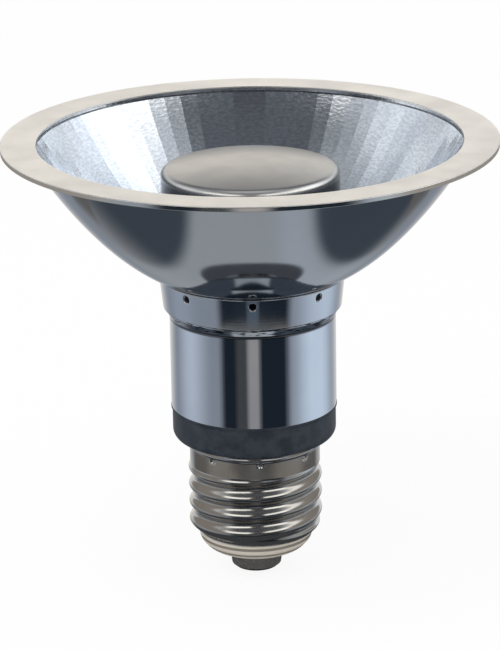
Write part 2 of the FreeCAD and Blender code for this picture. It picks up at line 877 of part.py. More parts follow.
def driver_board():
    upper = block(
        (driver_board_width, driver_board_thickness, driver_top - driver_shoulder),
        (-driver_board_width / 2, board_front, driver_shoulder),
    )
    tail = block(
        (driver_tail_width, driver_board_thickness, driver_tail_length),
        (-driver_tail_width / 2, board_front, driver_tail_foot),
    )
    return upper.fuse(tail).removeSplitter()


def transformer_frame():
    """Middle of the transformer: it stands off the board's front by half its bobbin."""
    return Vector(
        core_place[0],
        board_front - part_gap - bobbin_depth / 2,
        driver_shoulder + core_place[1],
    )


def transformer_core():
    middle = transformer_frame()
    window_height = core_height - 2 * core_yoke
    core = centred_block((core_width, core_depth, core_height), middle)
    for side in (-1, 1):
        shift = Vector(side * (core_leg + core_window) / 2, 0, 0)
        window = centred_block((core_window, core_depth + 2, window_height), middle + shift)
        core = core.cut(window)
    return core


def transformer_bobbin():
    middle = transformer_frame()
    height = core_height - 2 * core_yoke - 2 * part_gap
    tube = (core_leg + 2 * bobbin_wall, core_depth + 2 * bobbin_wall)
    flange = (core_leg + 2 * core_window - 2 * part_gap, bobbin_depth)
    body = centred_block((tube[0], tube[1], height), middle)
    for side in (-1, 1):
        shift = Vector(0, 0, side * (height - bobbin_flange) / 2)
        body = body.fuse(centred_block((flange[0], flange[1], bobbin_flange), middle + shift))
    leg = (core_leg + 2 * part_gap, core_depth + 2 * part_gap)
    return body.cut(centred_block((leg[0], leg[1], height + 2), middle)).removeSplitter()


def transformer_winding():
    middle = transformer_frame()
    height = core_height - 2 * core_yoke - 2 * bobbin_flange - 4 * part_gap
    outer = (core_leg + 2 * core_window - 6 * part_gap, bobbin_depth - 6 * part_gap)
    inner = (core_leg + 2 * bobbin_wall + part_gap, core_depth + 2 * bobbin_wall + part_gap)
    coil = centred_block((outer[0], outer[1], height), middle)
    upright = [edge for edge in coil.Edges if edge.BoundBox.ZLength > height / 2]
    coil = coil.makeFillet(winding_rounding, upright)
    return coil.cut(centred_block((inner[0], inner[1], height + 2), middle))


def can_capacitor(size, place):
    """Round can lying along the board's front, its end edges rounded."""
    radius = size[0] / 2
    foot = driver_shoulder + place[1]
    can = Part.makeCylinder(radius, size[1], Vector(place[0], board_front - part_gap - radius, foot))
    rims = [edge_at(can, foot), edge_at(can, foot + size[1])]
    return can.makeFillet(radius / 8, rims)


def choke_spool(radius, first, last):
    """Disc of the choke, its axis square to the board, between two distances from it."""
    front = board_front - part_gap
    place = Vector(choke_place[0], front - first, driver_shoulder + choke_place[1])
    return Part.makeCylinder(radius, last - first, place, Vector(0, -1, 0))


def choke_core():
    flange_radius = choke_diameter / 2
    spool = choke_spool(choke_core_diameter / 2, 0, choke_height)
    spool = spool.fuse(choke_spool(flange_radius, 0, choke_flange))
    spool = spool.fuse(choke_spool(flange_radius, choke_height - choke_flange, choke_height))
    return spool.removeSplitter()


def choke_winding():
    first = choke_flange + part_gap
    last = choke_height - choke_flange - part_gap
    coil = choke_spool(choke_diameter / 2 - 4 * part_gap, first, last)
    return coil.cut(choke_spool(choke_core_diameter / 2 + part_gap, first - 1, last + 1))


def back_block(size, place):
    """Moulded block on the board's back face."""
    low = (place[0] - size[0] / 2, board_back + part_gap, driver_shoulder + place[1])
    body = block(size, low)
    outer_edges = [edge for edge in body.Edges if edge.CenterOfMass.y > board_back + size[1] * 0.9]
    return body.makeChamfer(mould_edge, outer_edges)


def controller_chip():
    """Moulded body with a row of flat legs above it and one below."""
    body = back_block(chip_size, chip_place)
    middle_z = driver_shoulder + chip_place[1] + chip_size[2] / 2
    for row in (-1, 1):
        for index in range(chip_leg_count):
            leg_middle = Vector(
                chip_place[0] + (index - (chip_leg_count - 1) / 2) * chip_leg_pitch,
                board_back + part_gap + chip_leg_size[1] / 2,
                middle_z + row * (chip_size[2] / 2 + chip_leg_size[2] / 4),
            )
            body = body.fuse(centred_block(chip_leg_size, leg_middle))
    return body.removeSplitter()


def fuse_resistor():
    radius = fuse_resistor_size[0] / 2
    foot = driver_shoulder + fuse_resistor_place[1]
    place = Vector(fuse_resistor_place[0], board_back + part_gap + radius, foot)
    body = Part.makeCylinder(radius, fuse_resistor_size[1], place)
    rims = [edge_at(body, foot), edge_at(body, foot + fuse_resistor_size[1])]
    return body.makeFillet(radius / 4, rims)


# Wires

def lamp_leads():
    """Two insulated wires: off the board's top, up the carrier's bore, out under the light board."""
    leads = []
    for side in (-1, 1):
        y = side * lead_spacing / 2
        board_x = side * lead_start
        board_y = board_front - part_gap - lead_diameter / 2
        points = [
            Vector(board_x, board_y, driver_top - lead_lap),
            Vector(board_x, board_y, driver_top + lead_diameter / 2),
            Vector(0, y, driver_top + 2 * lead_rise),
            Vector(0, y, light_lead_height),
            Vector(light_pad_diameter / 2, y, light_lead_height),
            Vector(light_pad_diameter / 2, y, light_board_foot),
        ]
        leads.append(bent_wire(points, lead_diameter, lead_bend))
    return Part.makeCompound(leads)


def shell_lead():
    """Wire from the board's tail, round the spigot's foot and up its slot against the shell."""
    outer = thread_middle_radius - shell_wall - spigot_gap - shell_lead_diameter / 2
    inner = ring_bore / 2 - shell_lead_diameter
    bend = (outer - inner) / 2 - part_gap / 4
    turn_height = shell_top - lower_spigot_length - shell_lead_diameter - part_gap
    board_x = -driver_tail_width / 2 + shell_lead_diameter
    board_y = board_front - part_gap - shell_lead_diameter / 2
    points = [
        Vector(board_x, board_y, driver_tail_foot + lead_lap),
        Vector(board_x, board_y, driver_tail_foot - shell_lead_diameter / 3),
        Vector(-inner, 0, turn_height + lead_lap),
        Vector(-inner, 0, turn_height),
        Vector(-outer, 0, turn_height),
        Vector(-outer, 0, shell_top - lead_slot_stop - shell_lead_diameter),
    ]
    return bent_wire(points, shell_lead_diameter, bend)


def contact_lead():
    """Wire from the board's tail down the middle of the cap into the rivet's bore."""
    board_y = board_front - part_gap - contact_lead_diameter / 2
    turn_height = driver_tail_foot - contact_lead_drop
    points = [
        Vector(0, board_y, driver_tail_foot + lead_lap),
        Vector(0, board_y, turn_height),
        Vector(0, 0, turn_height - contact_lead_run),
        Vector(0, 0, contact_thickness + part_gap),
    ]
    return bent_wire(points, contact_lead_diameter, contact_lead_bend)


os.makedirs("parts", exist_ok=True)

pieces = {
    "rim_ring": rim_ring,
    "outer_bowl": outer_bowl,
    "reflector": reflector,
    "glare_cap": glare_cap,
    "led_carrier": led_carrier,
    "carrier_screws": carrier_screws,
    "thermal_pad": lambda: light_ring(light_board_top, pocket_roof),
    "led_board": lambda: light_ring(light_board_foot, light_board_top),
    "led_packages": led_packages,
    "collar": collar,
    "heat_spreader": heat_spreader,
    "housing": housing,
    "driver_liner": driver_liner,
    "driver_board": driver_board,
    "transformer_core": transformer_core,
    "transformer_bobbin": transformer_bobbin,
    "transformer_winding": transformer_winding,
    "input_capacitor": lambda: can_capacitor(input_capacitor_size, input_capacitor_place),
    "output_capacitor": lambda: can_capacitor(output_capacitor_size, output_capacitor_place),
    "choke_core": choke_core,
    "choke_winding": choke_winding,
    "bridge_rectifier": lambda: back_block(rectifier_size, rectifier_place),
    "controller_chip": controller_chip,
    "film_capacitor": lambda: back_block(film_capacitor_size, film_capacitor_place),
    "fuse_resistor": fuse_resistor,
    "lamp_leads": lamp_leads,
    "shell_lead": shell_lead,
    "contact_lead": contact_lead,
    "base_ring": base_ring,
    "screw_shell": screw_shell,
    "cap_insulator": cap_insulator,
    "centre_contact": centre_contact,
}

for node, build in pieces.items():
    save(build(), node)
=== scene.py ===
import math

import bpy
import numpy as np
from mathutils import Matrix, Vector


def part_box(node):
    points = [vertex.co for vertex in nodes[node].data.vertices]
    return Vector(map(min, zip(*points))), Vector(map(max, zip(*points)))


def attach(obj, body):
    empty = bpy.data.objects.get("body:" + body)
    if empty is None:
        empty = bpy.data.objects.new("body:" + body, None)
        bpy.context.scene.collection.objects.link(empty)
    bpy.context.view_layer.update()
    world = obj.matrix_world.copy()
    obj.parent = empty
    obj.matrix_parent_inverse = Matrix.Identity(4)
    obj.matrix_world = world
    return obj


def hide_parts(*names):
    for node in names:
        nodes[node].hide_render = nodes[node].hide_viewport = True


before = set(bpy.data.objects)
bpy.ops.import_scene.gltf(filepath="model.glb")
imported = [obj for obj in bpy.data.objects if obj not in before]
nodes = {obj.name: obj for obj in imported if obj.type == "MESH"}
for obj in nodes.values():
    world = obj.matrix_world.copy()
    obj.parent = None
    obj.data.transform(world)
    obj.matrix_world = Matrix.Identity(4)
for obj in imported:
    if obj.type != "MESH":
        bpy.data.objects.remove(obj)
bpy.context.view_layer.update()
scene = bpy.context.scene
mm = 0.001
print("frame loaded with", len(nodes), "nodes")


# Mesh helpers: everything here is in millimetres until a piece is made

# Low and high corner of a node's box
def boxOf(node):
    low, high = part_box(node)
    return np.array(low) / mm, np.array(high) / mm


# 0 before the start, 1 after the end, and 3 s^2 - 2 s^3 of the share s between them
def smoothStep(value, start, end):
    share = np.clip((value - start) / (end - start), 0.0, 1.0)
    return share * share * (3 - 2 * share)


def unit(vector):
    return vector / np.linalg.norm(vector)


# Outline through (radius, height, fillet) corners. A fillet is an arc tangent to both sides.
# Each straight side gets a point near both ends, so that its shading stays flat.
def roundedOutline(corners, isClosed=True, arcStep=10.0, support=0.05):
    stretches = []
    for index, (radius, height, fillet) in enumerate(corners):
        here = np.array([radius, height], float)
        isEnd = not isClosed and index in (0, len(corners) - 1)
        if fillet == 0 or isEnd:
            stretches.append(here[None])
            continue
        toBefore = unit(np.array(corners[index - 1][:2]) - here)
        toAfter = unit(np.array(corners[(index + 1) % len(corners)][:2]) - here)
        halfAngle = math.acos(float(np.clip(toBefore @ toAfter, -1, 1))) / 2
        middle = here + unit(toBefore + toAfter) * fillet / math.sin(halfAngle)
        first = here + toBefore * fillet / math.tan(halfAngle) - middle
        turn = math.pi - 2 * halfAngle
        if first[0] * toBefore[1] - first[1] * toBefore[0] > 0:
            turn = -turn
        steps = max(2, math.ceil(abs(turn) / math.radians(arcStep)))
        angle = math.atan2(first[1], first[0]) + turn * np.linspace(0, 1, steps + 1)
        stretches.append(middle + fillet * np.stack([np.cos(angle), np.sin(angle)], 1))
    points = []
    for index, stretch in enumerate(stretches):
        points.append(stretch)
        side = stretches[(index + 1) % len(stretches)][0] - stretch[-1]
        share = support / np.linalg.norm(side)
        if share < 0.25 and (isClosed or index < len(stretches) - 1):
            points.append(stretch[-1] + side * np.array([[share], [1 - share]]))
    return np.concatenate(points)


# Points of a surface of revolution: x = r cos(a), y = r sin(a), z = h
def turnedGrid(outline, columns):
    angle = columns
    if isinstance(columns, int):
        angle = np.linspace(0, 2 * math.pi, columns, endpoint=False)
    radius = outline[:, 0][:, None]
    height = np.repeat(outline[:, 1][:, None], len(angle), 1)
    return np.stack([radius * np.cos(angle), radius * np.sin(angle), height], 2)


# Mesh from a grid of points, rows by columns, which closes round the columns.
# The rows close too, or with hasPoles the first and last row are one point each.
# Rows that run counter-clockwise in the (radius, height) plane give outward faces.
def gridMesh(name, grid, hasPoles=False, sharpAngle=40.0):
    columns = grid.shape[1]
    body = grid[1:-1] if hasPoles else grid
    index = np.arange(len(body) * columns).reshape(-1, columns)
    following = index if hasPoles else np.concatenate([index, index[:1]])
    low, high = following[:-1], following[1:]
    quads = np.stack([low, np.roll(low, -1, 1), np.roll(high, -1, 1), high], 2).reshape(-1, 4)
    points = body.reshape(-1, 3)
    faces = quads.tolist()
    if hasPoles:
        foot = len(points)
        points = np.concatenate([points, grid[:1, 0], grid[-1:, 0]])
        first, last = index[0], index[-1]
        faces += np.stack([np.full(columns, foot), np.roll(first, -1), first], 1).tolist()
        faces += np.stack([last, np.roll(last, -1), np.full(columns, foot + 1)], 1).tolist()
    mesh = bpy.data.meshes.new(name)
    mesh.from_pydata((points * mm).tolist(), [], faces)
    mesh.shade_smooth()
    mesh.set_sharp_from_angle(angle=math.radians(sharpAngle))
    return mesh


def setAttribute(mesh, name, values, domain="POINT"):
    attribute = mesh.attributes.new(name, "FLOAT", domain)
    attribute.data.foreach_set("value", np.asarray(values, np.float32).ravel())


def addPiece(mesh, material, slotName, *replaced):
    mesh.materials.append(material)
    piece = bpy.data.objects.new(mesh.name, mesh)
    scene.collection.objects.link(piece)
    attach(piece, "root")
    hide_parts(*replaced)
    print("made", mesh.name, "with", len(mesh.polygons), "faces")


# Node helpers: an input is a number, a colour or the socket that feeds it

def addNode(tree, kind, inputs=None, **settings):
    node = tree.nodes.new("ShaderNode" + kind)
    for key, value in settings.items():
        setattr(node, key, value)
    for key, value in (inputs or {}).items():
        if isinstance(value, bpy.types.NodeSocket):
            tree.links.new(value, node.inputs[key])
        else:
            node.inputs[key].default_value = value
    return node


def calculate(tree, operation, first, second=0.0):
    return addNode(tree, "Math", {0: first, 1: second}, operation=operation).outputs[0]


def multiply(tree, first, *others):
    for value in others:
        first = calculate(tree, "MULTIPLY", first, value)
    return first


# Smooth change from one result to another while the value runs from low to high
def remap(tree, value, fromLow, fromHigh, toLow=0.0, toHigh=1.0):
    keys = {"Value": value, "From Min": fromLow, "From Max": fromHigh, "To Min": toLow, "To Max": toHigh}
    return addNode(tree, "MapRange", keys, interpolation_type="SMOOTHSTEP").outputs["Result"]


def mixColours(tree, share, first, second):
    keys = {0: share, 6: first, 7: second}
    for key in (6, 7):
        if not isinstance(keys[key], bpy.types.NodeSocket):
            keys[key] = (*keys[key], 1)
    return addNode(tree, "Mix", keys, data_type="RGBA").outputs[2]


def objectPlace(tree):
    return addNode(tree, "TexCoord").outputs["Object"]


def splitPlace(tree, place):
    return addNode(tree, "SeparateXYZ", {0: place}).outputs


def joinPlace(tree, x, y=0.0, z=0.0):
    return addNode(tree, "CombineXYZ", {0: x, 1: y, 2: z}).outputs[0]


# Root of x^2 + y^2
def radiusOf(tree, x, y):
    flat = joinPlace(tree, x, y)
    return addNode(tree, "VectorMath", {0: flat}, operation="LENGTH").outputs["Value"]


# Coordinate that only changes with radius and height, for the rings that turning and spinning leave
def turnedPlace(tree):
    x, y, z = splitPlace(tree, objectPlace(tree))
    return joinPlace(tree, radiusOf(tree, x, y), 0.0, z)


# Noise whose grains are about as large as the size, in millimetres
def noise(tree, place, size, detail=3.0):
    keys = {"Vector": place, "Scale": 1 / (size * mm), "Detail": detail, "Roughness": 0.55}
    return addNode(tree, "TexNoise", keys).outputs["Fac"]


# Normal that follows a height, on top of the normal below it
def bump(tree, height, depth, below=None):
    keys = {"Height": height, "Distance": depth * mm, "Strength": 1.0}
    if below is not None:
        keys["Normal"] = below
    return addNode(tree, "Bump", keys).outputs["Normal"]


def attributeValue(tree, name):
    return addNode(tree, "Attribute", attribute_name=name).outputs["Fac"]


def mixShaders(tree, share, first, second):
    return addNode(tree, "MixShader", {0: share, 1: first.outputs[0], 2: second.outputs[0]})


# Where the share is 1, the roughness is the given one and no longer the material's own
def mixRoughness(tree, shader, share, roughness):
    own = shader.inputs["Roughness"].links[0].from_socket
    mix = addNode(tree, "Mix", {0: share, 2: own, 3: roughness})
    tree.links.new(mix.outputs[0], shader.inputs["Roughness"])


# Node tree of a material or world, emptied
def emptyTree(owner):
    owner.use_nodes = True
    owner.node_tree.nodes.clear()
    return owner.node_tree


def connectSurface(tree, shader, kind="OutputMaterial"):
    tree.links.new(shader.outputs[0], addNode(tree, kind).inputs["Surface"])


# Material whose colour and roughness wander in soft patches between two values, with a noise that
# does so between these limits
patchLimits = {"colour": (0.35, 0.65), "roughness": (0.3, 0.7)}


def patchyMaterial(name, look):
    material = bpy.data.materials.new(name)
    material.use_nodes = True
    tree = material.node_tree
    shader = tree.nodes["Principled BSDF"]
    shader.inputs["Metallic"].default_value = look.get("metallic", 1.0)
    shader.inputs["IOR"].default_value = 1.5
    place = objectPlace(tree)
    tone = noise(tree, place, look["patchSize"])
    share = remap(tree, tone, *patchLimits["colour"])
    colour = mixColours(tree, share, look["colour"], look["otherColour"])
    tree.links.new(colour, shader.inputs["Base Color"])
    rough = remap(tree, tone, *patchLimits["roughness"], *look["roughness"])
    tree.links.new(rough, shader.inputs["Roughness"])
    return material, tree, shader, place, colour


# A finish is one row of values with these names. Grain, rings and streaks are (size, depth) each, and
# a finish may leave out the last two: rings lie round the axis and streaks stand upright.
finishKeys = ("metallic", "colour", "otherColour", "patchSize", "roughness", "grain", "rings", "streaks")


def wornMaterial(name, finish):
    look = dict(zip(finishKeys, finish))
    material, tree, shader, place, colour = patchyMaterial(name, look)
    size, depth = look["grain"]
    normal = bump(tree, noise(tree, place, size), depth)
    if "rings" in look:
        size, depth = look["rings"]
        normal = bump(tree, noise(tree, turnedPlace(tree), size, 2.0), depth, normal)
    if "streaks" in look:
        size, depth = look["streaks"]
        x, y, z = splitPlace(tree, place)
        normal = bump(tree, noise(tree, joinPlace(tree, x, y), size, 2.0), depth, normal)
    tree.links.new(normal, shader.inputs["Normal"])
    return material, tree, shader, colour


# Place in millimetres, then one turn after another, in degrees
def standing(place, *turns):
    matrix = Matrix.Translation([value * mm for value in place])
    for axis, degrees in turns:
        matrix = matrix @ Matrix.Rotation(math.radians(degrees), 4, axis)
    return matrix


# Camera: long lens, a little above the rim, turned so that the lamp leans as it does in the photograph
cameraLook = {
    "place": (-0.56, -589.0, 244.4), "pitch": -18.24, "roll": -0.96,
    "focalLength": 176.4, "sensorHeight": 36.0, "clipStart": 0.01,
}

camera = bpy.data.objects.new("camera", bpy.data.cameras.new("camera"))
camera.data.lens = cameraLook["focalLength"]
camera.data.sensor_fit = "VERTICAL"
camera.data.sensor_height = cameraLook["sensorHeight"]
camera.data.clip_start = cameraLook["clipStart"]
camera.matrix_world = standing(
    cameraLook["place"], ("X", 90 + cameraLook["pitch"]), ("Z", cameraLook["roll"]))
scene.collection.objects.link(camera)
scene.camera = camera
scene.view_settings.view_transform = "Standard"
print("camera placed")


# Studio: what polished metal sees is a room of soft cards round the lamp. A card lies between limits,
# each written as (middle, half width, softness): "front" and "back" are degrees of azimuth from the
# camera's side or from behind, "height" is degrees over the horizon, "side" and "depth" are the
# direction's own x and y. A card is its colour and its limits, and lies over the cards before it.
# Dull surfaces get one plain light.
studioLook = {
    "plainLight": 0.85,
    "middle": (0.25, 0.28, 0.33),   # level with the lamp
    "ground": (0.33, 0.34, 0.35),
    "sky": (0.095, 0.105, 0.12),
    "groundHeights": (-46, -28),
    "skyHeights": (8, 40),
    "cards": [
        # under the lamp: dark table with a pale strip from front to back, paler again behind
        ((0.055, 0.068, 0.085), {"height": (-90, 52, 14), "depth": (-0.4, 1.005, 0.49)}),
        ((0.055, 0.068, 0.085),
         {"height": (-90, 52, 14), "side": (0.75, 0.55, 0.1), "depth": (0.3, 0.36, 0.28)}),
        ((0.345, 0.37, 0.39), {"height": (-90, 52, 14), "side": (0, 0.30, 0.07), "depth": (0.3, 0.72, 0.10)}),
        ((0.39, 0.425, 0.47),
         {"height": (-90, 52, 14), "side": (0.21, 0.07, 0.12), "depth": (0.25, 0.6, 0.3)}),
        # behind, a warm white wall that fades upwards
        ((1.02, 0.97, 0.90), {"back": (0, 32, 40), "height": (2, 22, 28)}),
        # right and left: soft boxes, walls farther back, a grey band at the lamp's height, lights above
        ((0.61, 0.71, 0.83), {"front": (98, 30, 44), "height": (10, 39, 20)}),
        ((0.52, 0.58, 0.68), {"front": (-97, 20, 40), "height": (10, 33, 14)}),
        ((0.84, 0.90, 0.96), {"front": (144, 24, 24), "height": (10, 16, 12)}),
        ((0.76, 0.80, 0.84), {"front": (-142, 22, 24), "height": (12, 16, 12)}),
        ((0.40, 0.39, 0.38), {"front": (96, 34, 16), "height": (6, 13, 8)}),
        ((0.36, 0.36, 0.35), {"front": (-98, 34, 16), "height": (6, 13, 8)}),
        ((0.60, 0.62, 0.65), {"front": (76, 18, 44), "height": (48, 14, 12)}),
        ((0.38, 0.40, 0.42), {"front": (-91, 24, 36), "height": (48, 14, 12)}),
        ((1.55, 1.60, 1.65), {"front": (99, 19, 44), "height": (33, 17, 12)}),
        ((0.84, 0.88, 0.92), {"front": (-98, 20, 36), "height": (27, 13, 12)}),
        # a pale ceiling high over the lamp
        ((0.52, 0.54, 0.56), {"height": (90, 20, 12)}),
        # in front, the dark side of the room with narrow gaps of light
        ((0.012, 0.018, 0.027),
         {"front": (2, 47, 14), "height": (-30, 42, 10), "depth": (-0.75, 0.35, 0.06)}),
        ((0.058, 0.063, 0.066), {"front": (-16, 8, 8), "height": (-8, 19, 8)}),
        ((0.075, 0.10, 0.14), {"front": (0, 8, 8), "height": (-20, 18, 8)}),
        ((0.32, 0.31, 0.31), {"front": (0, 8, 9), "height": (-8, 14, 6)}),
        # in front and above, a long low light with a stand before it
        ((1.50, 1.50, 1.47), {"front": (8, 76, 12), "height": (33.5, 9.5, 5)}),
        ((0.07, 0.07, 0.08), {"front": (0, 13, 5), "height": (22, 30, 6)}),
    ],
}


# The share of a card is the product over its measures of 1 inside the limits and 0 outside
def buildStudio(look):
    scene.world = bpy.data.worlds.new("studio")
    tree = emptyTree(scene.world)
    x, y, z = splitPlace(tree, addNode(tree, "TexCoord").outputs["Generated"])
    degree = 180 / math.pi
    measures = {
        "front": multiply(tree, calculate(tree, "ARCTAN2", x, multiply(tree, y, -1.0)), degree),
        "back": multiply(tree, calculate(tree, "ARCTAN2", x, y), degree),
        "height": multiply(tree, calculate(tree, "ARCSINE", z), degree),
        "side": x,
        "depth": y,
    }
    height = measures["height"]
    colour = mixColours(tree, remap(tree, height, *look["groundHeights"]), look["ground"], look["middle"])
    colour = mixColours(tree, remap(tree, height, *look["skyHeights"]), colour, look["sky"])
    for cardColour, limits in look["cards"]:
        shares = []
        for measure, (middle, halfWidth, softness) in limits.items():
            away = calculate(tree, "SUBTRACT", measures[measure], middle)
            edge = (halfWidth - softness / 2, halfWidth + softness / 2)
            shares.append(remap(tree, calculate(tree, "ABSOLUTE", away), *edge, 1.0, 0.0))
        colour = mixColours(tree, multiply(tree, *shares), colour, cardColour)
    path = addNode(tree, "LightPath")
    white = (1, 1, 1, 1)
    cards = addNode(tree, "Background", {"Color": colour, "Strength": 1.0})
    plain = addNode(tree, "Background", {"Color": white, "Strength": look["plainLight"]})
    paper = addNode(tree, "Background", {"Color": white, "Strength": 1.0})
    lit = mixShaders(tree, path.outputs["Is Glossy Ray"], plain, cards)
    whole = mixShaders(tree, path.outputs["Is Camera Ray"], lit, paper)
    connectSurface(tree, whole, "OutputWorld")


buildStudio(studioLook)

# One broad soft lamp overhead, which only shapes the shadow on the floor and the dull surfaces
keyLook = {"place": (-220, -260, 620), "turn": -40, "tilt": 28, "size": 420, "power": 1.6}
keyLight = bpy.data.lights.new("key", "AREA")
keyLight.size = keyLook["size"] * mm
keyLight.energy = keyLook["power"]
key = bpy.data.objects.new("key", keyLight)
key.matrix_world = standing(keyLook["place"], ("Z", keyLook["turn"]), ("X", keyLook["tilt"]))
key.visible_glossy = False
scene.collection.objects.link(key)

# Floor: pale paper that keeps a soft shadow. It is white to the camera.
floorLook = {"reach": 4000, "drop": 0.02, "shadowShare": 0.09, "colour": (0.93, 0.93, 0.93)}


def buildFloor(look):
    corners = np.array([(-1, -1), (1, -1), (1, 1), (-1, 1)], float) * look["reach"]
    points = np.column_stack([corners, np.full(4, -look["drop"])]) * mm
    mesh = bpy.data.meshes.new("floor")
    mesh.from_pydata(points.tolist(), [], [(0, 1, 2, 3)])
    material = bpy.data.materials.new("floorPaper")
    tree = emptyTree(material)
    paper = addNode(tree, "BsdfDiffuse", {"Color": (*look["colour"], 1)})
    white = addNode(tree, "Emission", {"Color": (1, 1, 1, 1), "Strength": 1.0})
    isCamera = addNode(tree, "LightPath").outputs["Is Camera Ray"]
    share = multiply(tree, isCamera, 1 - look["shadowShare"])
    connectSurface(tree, mixShaders(tree, share, paper, white))
    mesh.materials.append(material)
    floor = bpy.data.objects.new("floor", mesh)
    floor.visible_glossy = False
    scene.collection.objects.link(floor)


buildFloor(floorLook)

# What stands on the floor round the lamp, shown by polished metal only: a dull ring of table a hand's
# breadth away, a dull ring of room above it on both sides, and the lamp's own shadow on the floor
tableLook = {
    "radius": 150, "ringWall": 1, "columns": 96,
    "tableLow": (-51, -46), "tableHigh": (-24, -19), "tableReach": (124, 138),
    "tableColour": (0.26, 0.245, 0.23), "frontColour": (0.13, 0.134, 0.138), "frontReach": (16, 46),
    "backColour": (0.14, 0.135, 0.13), "backReach": (76, 100),
    "roomLow": (22, 34), "roomHigh": (108, 128), "roomStart": (48, 72), "roomEnd": (138, 156),
    "roomColour": (0.27, 0.255, 0.235), "roomShare": 0.85,
    "shadowRadius": 21, "shadowWidth": 1.3, "shadowEdge": 3, "shadowColour": (0.06, 0.065, 0.075),
    "shadowHeights": (-0.03, -0.012),
}


# It glows where the paint's share is 1 and is clear where it is 0
def glossCard(mesh, look, paint):
    material = bpy.data.materials.new(mesh.name)
    tree = emptyTree(material)
    colour, share = paint(tree, look)
    glow = addNode(tree, "Emission", {"Color": colour})
    clear = addNode(tree, "BsdfTransparent")
    connectSurface(tree, mixShaders(tree, share, clear, glow))
    mesh.materials.append(material)
    card = bpy.data.objects.new(mesh.name, mesh)
    card.visible_camera = False
    card.visible_diffuse = False
    card.visible_shadow = False
    scene.collection.objects.link(card)


# Share of a ring that shows between two heights, and its degrees away from the camera's side
def ringMeasures(tree, low, high):
    x, y, z = splitPlace(tree, objectPlace(tree))
    turn = calculate(tree, "ARCTAN2", x, multiply(tree, y, -1.0))
    away = multiply(tree, calculate(tree, "ABSOLUTE", turn), 180 / math.pi)
    height = calculate(tree, "DIVIDE", z, mm)
    return multiply(tree, remap(tree, height, *low), remap(tree, height, *high, 1.0, 0.0)), away


def paintTable(tree, look):
    share, away = ringMeasures(tree, look["tableLow"], look["tableHigh"])
    share = multiply(tree, share, remap(tree, away, *look["tableReach"], 1.0, 0.0))
    onSide, onBack = (remap(tree, away, *look[key]) for key in ("frontReach", "backReach"))
    colour = mixColours(tree, onSide, look["frontColour"], look["tableColour"])
    return mixColours(tree, onBack, colour, look["backColour"]), share


def paintRoom(tree, look):
    share, away = ringMeasures(tree, look["roomLow"], look["roomHigh"])
    share = multiply(
        tree, share, remap(tree, away, *look["roomStart"], 0.0, look["roomShare"]),
        remap(tree, away, *look["roomEnd"], 1.0, 0.0))
    return (*look["roomColour"], 1), share


# Oval on the floor: 1 inside its edge, 0 outside
def paintShadow(tree, look):
    x, y, z = splitPlace(tree, objectPlace(tree))
    radius = radiusOf(tree, calculate(tree, "DIVIDE", x, look["shadowWidth"]), y)
    outer = look["shadowRadius"] * mm
    share = remap(tree, radius, outer - look["shadowEdge"] * mm, outer, 1.0, 0.0)
    return (*look["shadowColour"], 1), share


def buildTable(look):
    near, far = look["radius"], look["radius"] + look["ringWall"]
    for name, lowKey, highKey, paint in (
        ("tableRing", "tableLow", "tableHigh", paintTable),
        ("roomRing", "roomLow", "roomHigh", paintRoom),
    ):
        low, high = look[lowKey][0], look[highKey][1]
        ring = np.array([(near, low), (far, low), (far, high), (near, high)])
        glossCard(gridMesh(name, turnedGrid(ring, look["columns"])), look, paint)
    reach = look["shadowRadius"] * look["shadowWidth"]
    low, high = look["shadowHeights"]
    shadow = turnedGrid(np.array([(0, low), (reach, low), (reach, high), (0, high)]), look["columns"])
    glossCard(gridMesh("lampShadow", shadow, hasPoles=True), look, paintShadow)


buildTable(tableLook)
print("studio, floor and table ready")


# Rim ring: pressed flat ring, its outer edge rolled down over the bowl's flange
rimLook = {
    "columns": 320, "sheet": 0.4, "innerWidth": 6.85, "edgeRadius": 0.15, "innerRadius": 0.10,
    "lipRadius": 0.12, "sideRoughness": 0.10,
    "finish": (
        1.0, (0.98, 0.96, 0.92), (0.955, 0.935, 0.895), 9.0, (0.27, 0.33), (0.12, 0.0012), (0.35, 0.0008)),
}


def rimRing(look):
    low, high = boxOf("rim_ring")
    outer = min(*high[:2], *-low[:2])
    sheet = look["sheet"]
    outline = roundedOutline([
        (outer - look["innerWidth"], high[2] - sheet, look["innerRadius"]),
        (outer - sheet, high[2] - sheet, 0),
        (outer - sheet, low[2], look["lipRadius"]),
        (outer, low[2], look["lipRadius"]),
        (outer, high[2], look["edgeRadius"]),
        (outer - look["innerWidth"], high[2], look["innerRadius"]),
    ])
    mesh = gridMesh("rimRing", turnedGrid(outline, look["columns"]))
    # the rolled side is smoother than the satin top
    isSide = (outline[:, 0] > outer - look["lipRadius"]) & (outline[:, 1] < high[2] - look["lipRadius"])
    setAttribute(mesh, "side", np.repeat(isSide, look["columns"]))
    material, tree, shader, colour = wornMaterial("rimSatin", look["finish"])
    mixRoughness(tree, shader, attributeValue(tree, "side"), look["sideRoughness"])
    addPiece(mesh, material, "rim_metal", "rim_ring")


rimRing(rimLook)


# Bowl curve: height = start + slope (r - r0) + bend (r - r0)^2, through the mouth at the rim's top
bowlCurve = {
    "startRadius": 18.0, "startLift": 0.2, "startSlope": 25.5, "mouthInset": 4.45,
    "tableRadii": (16.0, 46.0, 3001),
}
collarTop = boxOf("collar")[1][2]
rimTop = boxOf("rim_ring")[1][2]
rimOuter = boxOf("rim_ring")[1][0]


